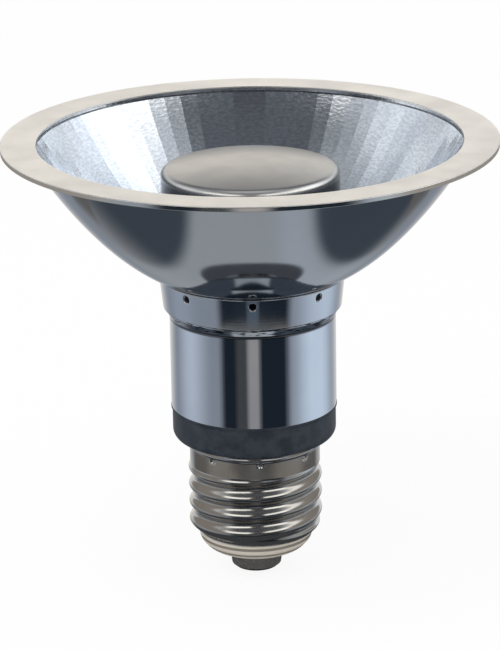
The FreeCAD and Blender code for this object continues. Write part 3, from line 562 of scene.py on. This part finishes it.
def bowlHeight(radius, inset=0.0):
    slope = math.tan(math.radians(bowlCurve["startSlope"]))
    start = np.array([bowlCurve["startRadius"], collarTop + bowlCurve["startLift"]])
    end = np.array([rimOuter - bowlCurve["mouthInset"], rimTop])
    span = end[0] - start[0]
    bend = (end[1] - start[1] - slope * span) / span ** 2
    ends = []
    for point in (start, end):  # the sheet's thickness moves both ends inwards, square to the curve
        steep = slope + 2 * bend * (point[0] - start[0])
        ends.append(point + inset * unit(np.array([-steep, 1.0])))
    span = ends[1][0] - ends[0][0]
    bend = (ends[1][1] - ends[0][1] - slope * span) / span ** 2
    out = radius - ends[0][0]
    return ends[0][1] + slope * out + bend * out ** 2


# Radius for a height, read from a fine table of the curve
def bowlRadiusAt(height, inset=0.0):
    radii = np.linspace(*bowlCurve["tableRadii"])
    return float(np.interp(height, bowlHeight(radii, inset), radii))


# Outer bowl: spun and polished, smooth outside, with a flange under the rim ring and a neck in the collar
bowlLook = {
    "columns": 320, "rows": 60, "wall": 0.6, "flange": 0.4, "neckTop": 17.55, "neckFoot": 17.17,
    "flangeFillet": 0.5, "edgeFillet": 0.1,
    "finish": (
        1.0, (0.66, 0.68, 0.71), (0.64, 0.66, 0.69), 14.0, (0.07, 0.11), (0.5, 0.0006), (0.9, 0.0011)),
}


def outerBowl(look):
    low, high = boxOf("outer_bowl")
    underside = rimTop - rimLook["sheet"]
    flangeFoot = underside - look["flange"]
    flangeRadius, fillet = high[0], look["edgeFillet"]
    mouth = bowlRadiusAt(flangeFoot)
    innerMouth = bowlRadiusAt(underside, look["wall"])
    outerRadii = np.linspace(look["neckTop"], mouth - look["flangeFillet"], look["rows"])
    innerRadii = np.linspace(innerMouth, look["neckTop"] - look["wall"], look["rows"] // 2)
    outside = np.column_stack([outerRadii, bowlHeight(outerRadii)])
    inside = np.column_stack([innerRadii, bowlHeight(innerRadii, look["wall"])])
    corner = roundedOutline([
        (*outside[-1], 0),
        (mouth, flangeFoot, look["flangeFillet"]),
        (flangeRadius, flangeFoot, fillet),
        (flangeRadius, underside, fillet),
        (*inside[0], 0),
    ], isClosed=False)
    neck = np.array([(look["neckFoot"] - look["wall"], low[2]), (look["neckFoot"], low[2])])
    outline = np.concatenate([outside[:-1], corner, inside[1:], neck])
    mesh = gridMesh("outerBowl", turnedGrid(outline, look["columns"]))
    material = wornMaterial("bowlPolish", look["finish"])[0]
    addPiece(mesh, material, "bowl_metal", "outer_bowl")


outerBowl(bowlLook)


# Mirror insert: flat facets between straight meridians, with the hammered grain of such mirrors
mirrorLook = {
    "facets": 72, "columnsPerFacet": 3, "rows": 56, "holeRadius": 12.0, "backInset": 0.7, "faceInset": 1.4,
    "colour": (0.82, 0.85, 0.89), "otherColour": (0.76, 0.79, 0.84), "patchSize": 6.0,
    "roughness": (0.10, 0.15), "unevenness": 0.10, "lean": 0.03, "facetSteps": (12.9898, 4.1414, 2.399),
    "toneChange": 0.04, "toneStep": 1.7,
    "hammerSize": 0.32, "hammerDepth": 0.022, "grainReach": 12.0, "fineSize": 0.16, "fineDepth": 0.005,
    "grainLimits": (0.32, 0.68), "grainShares": (0.86, 1.09), "brightest": 1.15,
    "lipRadius": 41.25, "lipHeight": 0.5, "lipTaper": 0.05, "lipShade": 0.75,
    "grooveHeight": 0.75, "grooveDepth": 0.2, "grooveEdges": (0.06, 0.04), "grooveShade": 0.42,
}


# Between two meridians the surface is straight: point = (1 - t) P(i) + t P(i + 1).
# Each meridian stands a little off its even place, round the ring and outwards, as pressed facets do.
def facetedRing(radii, heights, look):
    facets, perFacet = look["facets"], look["columnsPerFacet"]
    sineStep, cosineStep, leanStep = look["facetSteps"]
    column = np.arange(facets * perFacet)
    share = (column % perFacet) / perFacet
    number = np.arange(facets + 1) % facets
    shift = look["unevenness"] * np.sin(number * sineStep) * np.cos(number * cosineStep)
    meridian = 2 * math.pi * (np.arange(facets + 1) + shift) / facets
    reach = 1 + look["lean"] / radii.max() * np.sin(number * leanStep)
    ends = reach[:, None] * np.column_stack([np.cos(meridian), np.sin(meridian)])
    facet = column // perFacet
    across, along = ((1 - share)[:, None] * ends[facet] + share[:, None] * ends[facet + 1]).T
    height = np.repeat(heights[:, None], len(column), 1)
    return np.stack([radii[:, None] * across, radii[:, None] * along, height], 2)


def mirrorMaterial(look):
    material, tree, shader, place, colour = patchyMaterial("mirrorHammered", look)
    # the grain is longer round the ring than outwards: its place is (turn, radius)
    x, y, z = splitPlace(tree, place)
    along = multiply(tree, calculate(tree, "ARCTAN2", x, y), look["grainReach"] * mm)
    hammer = noise(tree, joinPlace(tree, along, radiusOf(tree, x, y)), look["hammerSize"], 2.0)
    # the grain's tone is partly its own and partly painted shade, darker in its hollows; the plain edge and
    # its groove at the top get painted shade, and each facet has its own tone
    grain = remap(tree, hammer, *look["grainLimits"], *look["grainShares"])
    grain = multiply(tree, grain, attributeValue(tree, "facetToneAndShade"))
    grain = calculate(tree, "MINIMUM", grain, look["brightest"])
    shaded = addNode(tree, "VectorMath", {0: colour, 3: grain}, operation="SCALE").outputs[0]
    tree.links.new(shaded, shader.inputs["Base Color"])
    fine = noise(tree, place, look["fineSize"], 2.0)
    normal = bump(tree, fine, look["fineDepth"], bump(tree, hammer, look["hammerDepth"]))
    tree.links.new(normal, shader.inputs["Normal"])
    return material


# Back on the bowl's curve, a plain edge with a groove at the top, then the faceted face
def mirrorInsert(look):
    underside = rimTop - rimLook["sheet"]
    lipFoot, grooveFoot = underside - look["lipHeight"], underside - look["grooveHeight"]
    faceTop = bowlRadiusAt(grooveFoot, look["faceInset"])
    backTop = bowlRadiusAt(underside, look["backInset"])
    faceRadii = np.linspace(faceTop, look["holeRadius"], look["rows"])
    backRadii = np.linspace(look["holeRadius"], backTop, look["rows"] // 2)
    perFacet = look["columnsPerFacet"]
    columns = look["facets"] * perFacet
    back = turnedGrid(np.column_stack([backRadii, bowlHeight(backRadii, look["backInset"])]), columns)
    lip, groove = look["lipRadius"], look["lipRadius"] - look["grooveDepth"]
    grooveTop, grooveLow = look["grooveEdges"]
    plainEdge = turnedGrid(np.array([
        (lip, underside), (lip - look["lipTaper"], lipFoot),
        (groove, lipFoot - grooveTop), (groove, grooveFoot + grooveLow)]), columns)
    face = facetedRing(faceRadii, bowlHeight(faceRadii, look["faceInset"]), look)
    mesh = gridMesh("mirrorInsert", np.concatenate([back, plainEdge, face]), sharpAngle=30)
    edgeStart, edgeEnd = len(back), len(back) + len(plainEdge)
    tone = np.ones((edgeEnd + len(face), columns))
    facetNumber = np.arange(columns) // perFacet
    tone[edgeEnd - 1:] += look["toneChange"] * np.sin(facetNumber * look["toneStep"])
    # painted shade: the plain edge under the rim's flange is darker, and its groove darker still
    tone[edgeStart - 1:edgeStart + 1] = look["lipShade"]
    tone[edgeStart + 1:edgeEnd] = look["grooveShade"]
    setAttribute(mesh, "facetToneAndShade", tone, "FACE")
    # the meridians between two facets are creases
    ends = np.empty(len(mesh.edges) * 2, np.int32)
    mesh.edges.foreach_get("vertices", ends)
    ends = ends.reshape(-1, 2)
    isFace = (ends >= edgeEnd * columns).all(1)
    isMeridian = (ends[:, 0] % columns == ends[:, 1] % columns) & (ends[:, 0] % columns % perFacet == 0)
    sharp = mesh.attributes.get("sharp_edge") or mesh.attributes.new("sharp_edge", "BOOLEAN", "EDGE")
    marks = np.empty(len(mesh.edges), bool)
    sharp.data.foreach_get("value", marks)
    sharp.data.foreach_set("value", marks | (isFace & isMeridian))
    addPiece(mesh, mirrorMaterial(look), "mirror_metal", "reflector")


mirrorInsert(mirrorLook)


# Glare cap: deep-drawn cup upside down, satin on its dome and polished on its wall, with painted shade on the
# wall
capLook = {
    "columns": 256, "wall": 0.8, "edgeRadius": 1.4, "dome": 1.2, "edgeRows": 14, "domeRows": 30,
    "footFillet": 0.15,
    "finish": (1.0, (0.76, 0.74, 0.71), (0.73, 0.715, 0.69), 5.0, (0.30, 0.34), (0.16, 0.003)),
    "wallRoughness": 0.16, "wallShade": (0.36, 0.36, 0.37),
    "roughRise": 0.9, "shadeRise": (-0.5, 0.2),  # heights over the wall's top at which they change
}


def glareCap(look):
    low, high = boxOf("glare_cap")
    outer, wall, fillet = high[0], look["wall"], look["footFillet"]

    # Skin of the cup: wall, round edge, and a dome whose height falls with the square of the radius
    def skin(radius, top, edgeRadius):
        edgeMiddle = np.array([radius - edgeRadius, top - look["dome"] - edgeRadius])
        domeTurn = math.pi / 2 - 2 * math.atan(look["dome"] / edgeMiddle[0])
        turn = np.linspace(0, domeTurn, look["edgeRows"])
        edge = edgeMiddle + edgeRadius * np.column_stack([np.cos(turn), np.sin(turn)])
        radii = np.linspace(edge[-1, 0], 0, look["domeRows"])[1:]
        dome = np.column_stack([radii, top - (top - edge[-1, 1]) * (radii / edge[-1, 0]) ** 2])
        return np.concatenate([edge, dome])

    outside = skin(outer, high[2], look["edgeRadius"])
    inside = skin(outer - wall, high[2] - wall, look["edgeRadius"] - wall / 2)[::-1]
    foot = roundedOutline([
        (*inside[-1], 0),
        (outer - wall, low[2], fillet),
        (outer, low[2], fillet),
        (*outside[0], 0),
    ], isClosed=False)
    outline = np.concatenate([inside[:-1], foot, outside[1:]])
    mesh = gridMesh("glareCap", turnedGrid(outline, look["columns"]), hasPoles=True)
    material, tree, shader, colour = wornMaterial("capSatin", look["finish"])
    wallTop = (high[2] - look["dome"] - look["edgeRadius"]) * mm
    height = splitPlace(tree, objectPlace(tree))[2]
    onWall = remap(tree, height, wallTop, wallTop + look["roughRise"] * mm, 1.0, 0.0)
    mixRoughness(tree, shader, onWall, look["wallRoughness"])
    # painted shade: the wall is painted darker than the dome, though the cup is one metal
    onDome = remap(tree, height, *(wallTop + value * mm for value in look["shadeRise"]))
    tree.links.new(mixColours(tree, onDome, look["wallShade"], colour), shader.inputs["Base Color"])
    addPiece(mesh, material, "cap_metal", "glare_cap")


glareCap(capLook)


# Collar: polished band, locked to the bowl's neck by eight punched dimples, whose holes get painted shade
collarLook = {
    "footRadius": 17.35, "topRadius": 18.0, "wall": 0.4, "rounding": 0.18,
    "dimples": 8, "dimpleTurn": 90.0, "dimpleDrop": 1.37, "fineReach": 1.35, "fineStep": 0.07,
    "dimpleRadius": 0.95, "lipRounding": 0.24, "holeRadius": 0.62, "holeDepth": 0.37, "holeEdge": 0.04,
    "pitEdge": 0.1, "footFillet": 0.08, "rowsBelow": 9, "columnsBetween": 14, "topRoom": 0.01,
    "finish": (
        1.0, (0.76, 0.785, 0.82), (0.73, 0.755, 0.79), 8.0, (0.05, 0.08), (0.6, 0.0006), (0.5, 0.0009),
        (1.6, 0.004)),
    "pitShadeColour": (0.012, 0.013, 0.016),
}


# Depth of a punched dimple at a distance from its middle: a round lip that turns in, then a steep hole
def dimpleDepth(distance, look):
    lip = np.clip(look["dimpleRadius"] - distance, 0, look["lipRounding"])
    turnedIn = look["lipRounding"] - np.sqrt(look["lipRounding"] ** 2 - lip ** 2)
    inside = look["holeRadius"] - distance
    hole = smoothStep(inside, -look["holeEdge"], look["holeEdge"])
    return turnedIn + (look["holeDepth"] - turnedIn) * hole


# Turned outline whose outer side is pressed in: radius = outline - dimple(distance to its middle)
def collarBand(look):
    low, high = boxOf("collar")
    foot, top = look["footRadius"], look["topRadius"]
    wall, rounding = look["wall"], look["rounding"]
    corners = roundedOutline([
        (foot - wall, low[2], look["footFillet"]),
        (foot, low[2], rounding),
        (top, high[2], rounding),
        (top - wall, high[2], rounding),
    ], arcStep=15)
    # rows and columns lie close together near the dimples only
    middle = high[2] - look["dimpleDrop"]
    fine = np.arange(-look["fineReach"], look["fineReach"], look["fineStep"])
    outerSide = np.argmax(np.diff(corners[:, 1]))
    first, last = corners[outerSide], corners[outerSide + 1]
    below = np.linspace(first[1], middle + fine[0], look["rowsBelow"])[1:-1]
    heights = np.concatenate([below, middle + fine])
    heights = heights[heights < last[1] - look["topRoom"]]
    share = (heights - first[1]) / (last[1] - first[1])
    side = first + share[:, None] * (last - first)
    outline = np.concatenate([corners[:outerSide + 1], side, corners[outerSide + 1:]])
    pitch = 2 * math.pi / look["dimples"]
    fineTurn = fine / top
    between = np.linspace(fineTurn[-1], pitch + fineTurn[0], look["columnsBetween"])[1:-1]
    sector = np.concatenate([fineTurn, between])
    angles = math.radians(look["dimpleTurn"]) + (pitch * np.arange(look["dimples"])[:, None] + sector).ravel()
    grid = turnedGrid(outline, angles)
    radius = outline[:, 0][:, None]
    away = np.tile(sector, look["dimples"])
    away = np.where(away > pitch / 2, away - pitch, away)
    distance = np.hypot(away * radius, outline[:, 1][:, None] - middle)
    isOuter = np.zeros(len(outline), bool)
    isOuter[outerSide:outerSide + len(side) + 2] = True
    depth = dimpleDepth(distance, look) * isOuter[:, None]
    grid[..., :2] *= ((radius - depth) / radius)[..., None]
    mesh = gridMesh("collarBand", grid, sharpAngle=70)
    # painted shade: the hole of each dimple is painted near black, for the shade inside it
    pit = smoothStep(look["holeRadius"] - distance, -look["pitEdge"], 0.0)
    setAttribute(mesh, "pit", pit * isOuter[:, None])
    material, tree, shader, colour = wornMaterial("collarPolish", look["finish"])
    shadedPit = mixColours(tree, attributeValue(tree, "pit"), colour, look["pitShadeColour"])
    tree.links.new(shadedPit, shader.inputs["Base Color"])
    addPiece(mesh, material, "tube_metal", "collar")


collarBand(collarLook)


# Housing: mirror-polished tube with a rounded shoulder under the collar
housingLook = {
    "columns": 320, "wall": 0.8, "shoulderHeight": 1.8, "shoulderRise": 1.45,
    "bendRadius": 1.2, "edgeRadius": 0.5, "endFillet": 0.1, "ringLip": 0.08,
    "glueAndShadeColour": (0.05, 0.055, 0.065), "seamStart": (0.3, 0.6), "seamSize": (2.2, 0.28),
    "seamShares": (0.50, 0.58), "seamShadeStart": (-0.5, -0.25), "seamShadeEnd": (0.15, 0.4), "seamShadeShare": 0.7,
    "finish": (
        1.0, (0.77, 0.79, 0.82), (0.74, 0.765, 0.80), 9.0, (0.045, 0.07), (0.7, 0.0006), (0.7, 0.0009),
        (1.1, 0.006)),
}


def housingTube(look):
    low, high = boxOf("housing")
    collarFoot = boxOf("collar")[0][2]
    radius = boxOf("base_ring")[1][0] - look["ringLip"]
    shoulder, fillet = high[0], look["endFillet"]
    shoulderFoot = collarFoot - look["shoulderHeight"]
    shoulderTop = shoulderFoot + look["shoulderRise"]
    wall = look["wall"]
    outline = roundedOutline([
        (radius - wall, low[2], fillet),
        (radius, low[2], fillet),
        (radius, shoulderFoot, look["bendRadius"]),
        (shoulder, shoulderTop, look["edgeRadius"]),
        (shoulder, high[2], fillet),
        (shoulder - wall, high[2], fillet),
        (shoulder - wall, shoulderTop, 0),
        (radius - wall, shoulderFoot, 0),
    ])
    mesh = gridMesh("housingTube", turnedGrid(outline, look["columns"]))
    material, tree, shader, colour = wornMaterial("housingPolish", look["finish"])
    # dashes of dark glue in the seam under the collar: noise on a place that is (turn, height). Over them
    # lies a band of painted shade right under the collar's edge.
    x, y, z = splitPlace(tree, objectPlace(tree))
    along = multiply(tree, calculate(tree, "ARCTAN2", y, x), radius * mm / look["seamSize"][0])
    across = calculate(tree, "DIVIDE", z, look["seamSize"][1])
    glueAndShade = noise(tree, joinPlace(tree, along, 0.0, across), 1.0, 2.0)

    # Change from low to high between two heights, which are given over the shoulder's foot
    def rampUp(key, low=0.0, high=1.0):
        start, end = ((shoulderFoot + value) * mm for value in look[key])
        return remap(tree, z, start, end, low, high)

    glueAndShade = multiply(tree, remap(tree, glueAndShade, *look["seamShares"]), rampUp("seamStart"))
    # painted shade: a dark band on the shoulder just under the collar's edge
    seamShade = multiply(tree, rampUp("seamShadeStart"), rampUp("seamShadeEnd", look["seamShadeShare"], 0.0))
    glueAndShade = calculate(tree, "MAXIMUM", glueAndShade, seamShade)
    tree.links.new(mixColours(tree, glueAndShade, colour, look["glueAndShadeColour"]), shader.inputs["Base Color"])
    addPiece(mesh, material, "tube_metal", "housing")


housingTube(housingLook)


# Black ring between the screw shell and the housing
ringLook = {
    "columns": 288, "cornerRadius": 1.8, "cornerHeight": 0.3, "floor": 3.2,
    "lip": 0.08, "inset": 0.15, "lipHeight": 0.6, "spigotGap": 0.05, "shellWall": 0.35,
    "shellRadius": 12.8, "shellStep": 0.6, "shellInset": 0.09, "footRadius": 13.1, "bore": 10.9,
    "upperBore": 13.9, "housingWall": 0.8,
    "finish": (0.0, (0.017, 0.025, 0.037), (0.031, 0.041, 0.055), 2.4, (0.40, 0.52), (0.22, 0.004)),
}


# Turned outline: the spigot in the shell, the visible ring, and the spigot in the housing
def baseRing(look):
    low, high = boxOf("base_ring")
    shellTop = boxOf("screw_shell")[1][2]
    ringTop = boxOf("housing")[0][2]
    ringFoot = shellTop + look["shellStep"]
    floor, bore, upperBore = ringFoot + look["floor"], look["bore"], look["upperBore"]
    band = look["shellRadius"]
    side = high[0] - look["lip"] - look["inset"]
    spigot = band - look["shellWall"] - look["spigotGap"]
    upperSpigot = high[0] - look["lip"] - look["housingWall"] - look["spigotGap"]
    outline = roundedOutline([
        (bore, low[2], 0.2),
        (spigot, low[2], 0.3),
        (spigot, shellTop, 0),
        (band - look["shellInset"], shellTop, 0.05),
        (band - look["shellInset"], ringFoot, 0),
        (look["footRadius"], ringFoot, 0.15),
        (side, ringFoot + look["cornerHeight"], look["cornerRadius"]),
        (side, ringTop - look["lipHeight"], 0.1),
        (high[0], ringTop - look["lipHeight"] / 2, 0.06),
        (high[0], ringTop, 0.08),
        (upperSpigot, ringTop, 0),
        (upperSpigot, high[2], 0.2),
        (upperBore, high[2], 0.2),
        (upperBore, floor, 0),
        (bore, (ringFoot + floor) / 2, 0),
    ], arcStep=6)
    mesh = gridMesh("baseRing", turnedGrid(outline, look["columns"]))
    material, tree, shader, colour = wornMaterial("ringPlastic", look["finish"])
    addPiece(mesh, material, "ring_plastic", "base_ring")


baseRing(ringLook)


# Screw shell: nickel-plated sheet with a rolled knuckle thread
shellLook = {
    "columns": 360, "rowStep": 0.14, "wall": 0.35, "pitch": 3.629, "depth": 0.95, "majorRadius": 13.15,
    "crestHeight": 17.6, "runOut": 1.5, "bandRadius": 12.8, "bandHeight": 4.7,
    "bead": 0.18, "beadHeight": 1.1, "domeRadius": 11.3, "domeHeight": 4.4, "domeArc": 5.5,
    "domeBlend": (0.3, 0.5), "lipRadius": 5.4, "ridges": 4, "ridgeDepth": 0.05,
    "stakes": 8, "stakeTurn": 94.5, "stakeDrop": 1.5,
    "stakeRadii": (0.0, 0.3, 0.62), "stakeDepths": (0.34, 0.30, 0.0),
    "finish": (
        1.0, (0.62, 0.595, 0.555), (0.565, 0.54, 0.505), 4.0, (0.12, 0.18), (0.35, 0.0015), (0.5, 0.002)),
    "domePaintedLight": (0.84, 0.77, 0.67), "domeGrooveShade": (0.30, 0.27, 0.23), "domeMetallic": 0.25,
    "domeRoughness": 0.34, "grooveShares": (0.45, 0.85),
}


# Radius = wall(height) + depth / 2 cos(2 pi (height - crest(turn)) / pitch), where the wave fades out at
# the dome below and at the plain band above. The crest climbs one pitch a turn.
def shellSurface(look, foot, top, inset, rowStep):
    runOut, pitch = look["runOut"], look["pitch"]
    domeHeight, domeRadius, lipRadius = look["domeHeight"], look["domeRadius"], look["lipRadius"]
    domeTurn = np.linspace(0, math.pi / 2, max(8, int(look["domeArc"] / rowStep)))[:-1]
    threadFoot = foot + domeHeight
    bandFoot = top - look["bandHeight"]
    height = np.linspace(threadFoot, top, int((top - threadFoot) / rowStep))
    middle = look["majorRadius"] - look["depth"] / 2
    swell = smoothStep(height, threadFoot, threadFoot + runOut)
    widen = smoothStep(height, bandFoot - runOut / 2, bandFoot + runOut / 4)
    bead = np.clip((height - top) / look["beadHeight"] + 1, 0, 1)
    wall = domeRadius + (middle - domeRadius) * swell
    wall = wall + (look["bandRadius"] - middle) * widen + look["bead"] * np.sin(math.pi * bead) ** 2
    reach = domeRadius - lipRadius
    rowRadius = np.concatenate([lipRadius + reach * np.sin(domeTurn), wall])
    rowHeight = np.concatenate([foot + domeHeight * (1 - np.cos(domeTurn)), height])
    out = np.concatenate([np.sin(domeTurn), np.ones(len(height))])
    rise = np.concatenate([-np.cos(domeTurn), np.zeros(len(height))])
    # shallow spun grooves round the dome
    groove = np.zeros(len(rowRadius))
    groove[:len(domeTurn)] = look["ridgeDepth"] * np.sin(2 * look["ridges"] * domeTurn) ** 2
    inset = inset + groove
    turn = np.linspace(0, 2 * math.pi, look["columns"], endpoint=False)
    crest = foot + look["crestHeight"] + pitch * (turn - math.pi) / (2 * math.pi)
    phase = 2 * math.pi * (rowHeight[:, None] - crest) / pitch
    fadeIn = smoothStep(rowHeight, threadFoot - runOut / 2, threadFoot + runOut / 2)
    fadeOut = 1 - smoothStep(rowHeight, bandFoot - runOut / 2, bandFoot + runOut / 4)
    wave = look["depth"] / 2 * np.cos(phase) * (fadeIn * fadeOut)[:, None]
    radius = rowRadius[:, None] + (wave - inset[:, None]) * out[:, None]
    height = np.repeat((rowHeight - inset * rise)[:, None], look["columns"], 1)
    return np.stack([radius * np.cos(turn), radius * np.sin(turn), height], 2)


def screwShell(look):
    low, high = boxOf("screw_shell")
    outer = shellSurface(look, low[2], high[2], 0.0, look["rowStep"])
    inner = shellSurface(look, low[2], high[2], look["wall"], look["rowStep"] * 3)[::-1]
    # punched marks round the band, each pressed in from outside
    pitch = 2 * math.pi / look["stakes"]
    radius = np.hypot(outer[..., 0], outer[..., 1])
    turn = np.arctan2(outer[..., 1], outer[..., 0]) - math.radians(look["stakeTurn"])
    away = (turn + pitch / 2) % pitch - pitch / 2
    distance = np.hypot(away * radius, outer[..., 2] - (high[2] - look["stakeDrop"]))
    depth = np.interp(distance, look["stakeRadii"], look["stakeDepths"])
    scale = (radius - depth) / radius
    outer[..., 0] *= scale
    outer[..., 1] *= scale
    mesh = gridMesh("screwShell", np.concatenate([outer, inner]), sharpAngle=60)
    # painted reflection: the pressed dome under the thread is duller than the plating and painted a warm
    # cream for the lit floor it faces, with painted shade dark in its grooves
    height = np.concatenate([outer, inner])[..., 2] - low[2]
    below, above = look["domeBlend"]
    dome = 1 - smoothStep(height, look["domeHeight"] - below, look["domeHeight"] + above)
    domeTurn = np.arccos(np.clip(1 - height / look["domeHeight"], 0, 1))
    setAttribute(mesh, "dome", dome)
    setAttribute(mesh, "groove", np.sin(2 * look["ridges"] * domeTurn) ** 2 * dome)
    material, tree, shader, colour = wornMaterial("shellNickel", look["finish"])
    dome = attributeValue(tree, "dome")
    grooveShare = remap(tree, attributeValue(tree, "groove"), *look["grooveShares"])
    domePaintedLight = mixColours(tree, grooveShare, look["domePaintedLight"], look["domeGrooveShade"])
    tree.links.new(mixColours(tree, dome, colour, domePaintedLight), shader.inputs["Base Color"])
    mixRoughness(tree, shader, dome, look["domeRoughness"])
    tree.links.new(remap(tree, dome, 0.0, 1.0, 1.0, look["domeMetallic"]), shader.inputs["Metallic"])
    addPiece(mesh, material, "shell_metal", "screw_shell")


screwShell(shellLook)


# Insulator at the bottom of the shell. Its top lies in the shell's dome: height = dome (1 - cos a).
insulatorLook = {
    "columns": 192, "rows": 10, "neckRadius": 5.3, "taper": 0.45, "bore": 1.2, "seat": 0.45,
    "finish": (0.0, (0.115, 0.112, 0.107), (0.130, 0.126, 0.120), 1.6, (0.22, 0.32), (0.3, 0.004)),
}


def capInsulator(look):
    low, high = boxOf("cap_insulator")
    shellFoot = boxOf("screw_shell")[0][2]
    neck, seat = look["neckRadius"], look["seat"]
    domeHeight, lipRadius = shellLook["domeHeight"], shellLook["lipRadius"]
    lastTurn = math.acos(1 - (high[2] - shellFoot - seat) / (domeHeight - seat))
    turn = np.linspace(0, lastTurn, look["rows"])
    reach = shellLook["domeRadius"] - lipRadius - seat
    plugHeight = shellFoot + domeHeight * (1 - np.cos(turn)) + seat * np.cos(turn)
    plug = np.column_stack([lipRadius + reach * np.sin(turn), plugHeight])
    lower = roundedOutline([
        (look["bore"], low[2], 0),
        (neck - look["taper"], low[2], 0.25),
        (neck, shellFoot, 0.3),
        (neck, plug[0, 1], 0),
        (*plug[0], 0),
    ], isClosed=False)
    outline = np.concatenate([lower, plug[1:], [(look["bore"], high[2])]])
    mesh = gridMesh("capInsulator", turnedGrid(outline, look["columns"]))
    material = wornMaterial("insulatorGlass", look["finish"])[0]
    addPiece(mesh, material, "insulator_black", "cap_insulator")


capInsulator(insulatorLook)


# Contact button at the very tip, with the rivet tube that holds its wire
contactLook = {
    "columns": 128, "radius": 4.6, "flat": 2.5, "thickness": 0.8, "tube": 1.1, "tubeBore": 0.6,
    "finish": (1.0, (0.08, 0.078, 0.075), (0.05, 0.048, 0.046), 1.2, (0.28, 0.4), (0.2, 0.003)),
}


def centreContact(look):
    low, high = boxOf("centre_contact")
    thick = look["thickness"]
    outline = roundedOutline([
        (0, 0, 0),
        (look["flat"], 0, 0.6),
        (look["radius"] - 0.4, thick * 0.4, 0.5),
        (look["radius"], thick, 0.1),
        (look["tube"], thick, 0.05),
        (look["tube"], high[2], 0.1),
        (look["tubeBore"], high[2], 0.1),
        (look["tubeBore"], thick, 0),
        (0, thick, 0),
    ], isClosed=False, support=0.02)
    mesh = gridMesh("centreContact", turnedGrid(outline, look["columns"]), hasPoles=True)
    material = wornMaterial("contactMetal", look["finish"])[0]
    addPiece(mesh, material, "contact_metal", "centre_contact")


centreContact(contactLook)


# Inner pieces keep their own meshes. Each row has the pieces and then their finish.
innerFinishes = {
    "turnedAluminium": (["led_carrier", "heat_spreader"],
        1.0, (0.70, 0.70, 0.69), (0.64, 0.64, 0.63), 4.0, (0.28, 0.38), (0.3, 0.002), (0.25, 0.004)),
    "zincSteel": (["carrier_screws"],
        1.0, (0.55, 0.55, 0.53), (0.47, 0.46, 0.44), 1.0, (0.25, 0.38), (0.15, 0.003)),
    "padGrey": (["thermal_pad"], 0.0, (0.30, 0.31, 0.33), (0.26, 0.27, 0.29), 1.5, (0.75, 0.85), (0.2, 0.01)),
    "boardWhite": (["led_board"],
        0.0, (0.82, 0.82, 0.79), (0.77, 0.77, 0.74), 3.0, (0.35, 0.45), (0.3, 0.004)),
    "lightYellow": (["led_packages"],
        0.0, (0.88, 0.68, 0.16), (0.84, 0.60, 0.12), 0.8, (0.25, 0.35), (0.1, 0.002)),
    "linerWhite": (["driver_liner"],
        0.0, (0.78, 0.78, 0.76), (0.73, 0.73, 0.70), 5.0, (0.45, 0.55), (0.4, 0.004)),
    "boardGreen": (["driver_board"],
        0.0, (0.035, 0.17, 0.075), (0.03, 0.14, 0.06), 2.0, (0.3, 0.4), (0.25, 0.006)),
    "ferriteGrey": (["transformer_core", "choke_core"],
        0.0, (0.07, 0.068, 0.066), (0.045, 0.044, 0.043), 0.9, (0.5, 0.65), (0.12, 0.008)),
    "bobbinBlack": (["transformer_bobbin"],
        0.0, (0.03, 0.03, 0.03), (0.045, 0.045, 0.045), 1.5, (0.4, 0.5), (0.2, 0.004)),
    "copperWire": (["transformer_winding", "choke_winding"],
        1.0, (0.78, 0.36, 0.17), (0.66, 0.28, 0.12), 0.6, (0.25, 0.35), (0.15, 0.02)),
    "canSleeve": (["input_capacitor", "output_capacitor"],
        0.0, (0.02, 0.035, 0.09), (0.025, 0.045, 0.11), 2.5, (0.25, 0.33), (0.5, 0.003)),
    "mouldedBlack": (["bridge_rectifier", "controller_chip"],
        0.0, (0.022, 0.022, 0.023), (0.032, 0.032, 0.034), 0.8, (0.5, 0.6), (0.1, 0.004)),
    "filmYellow": (["film_capacitor"],
        0.0, (0.72, 0.48, 0.08), (0.66, 0.42, 0.06), 2.0, (0.35, 0.45), (0.3, 0.004)),
    "resistorBeige": (["fuse_resistor"],
        0.0, (0.62, 0.49, 0.32), (0.56, 0.43, 0.27), 1.2, (0.4, 0.5), (0.2, 0.004)),
    "leadWhite": (["lamp_leads"],
        0.0, (0.80, 0.80, 0.78), (0.74, 0.74, 0.72), 1.5, (0.35, 0.45), (0.25, 0.003)),
    "tinnedWire": (["shell_lead", "contact_lead"],
        1.0, (0.70, 0.69, 0.66), (0.62, 0.61, 0.58), 0.9, (0.22, 0.34), (0.12, 0.003)),
}

for name, (members, *finish) in innerFinishes.items():
    material = wornMaterial(name, finish)[0]
    for member in members:
        nodes[member].data.materials.clear()
        nodes[member].data.materials.append(material)
print("inner pieces finished:", len(innerFinishes), "finishes")
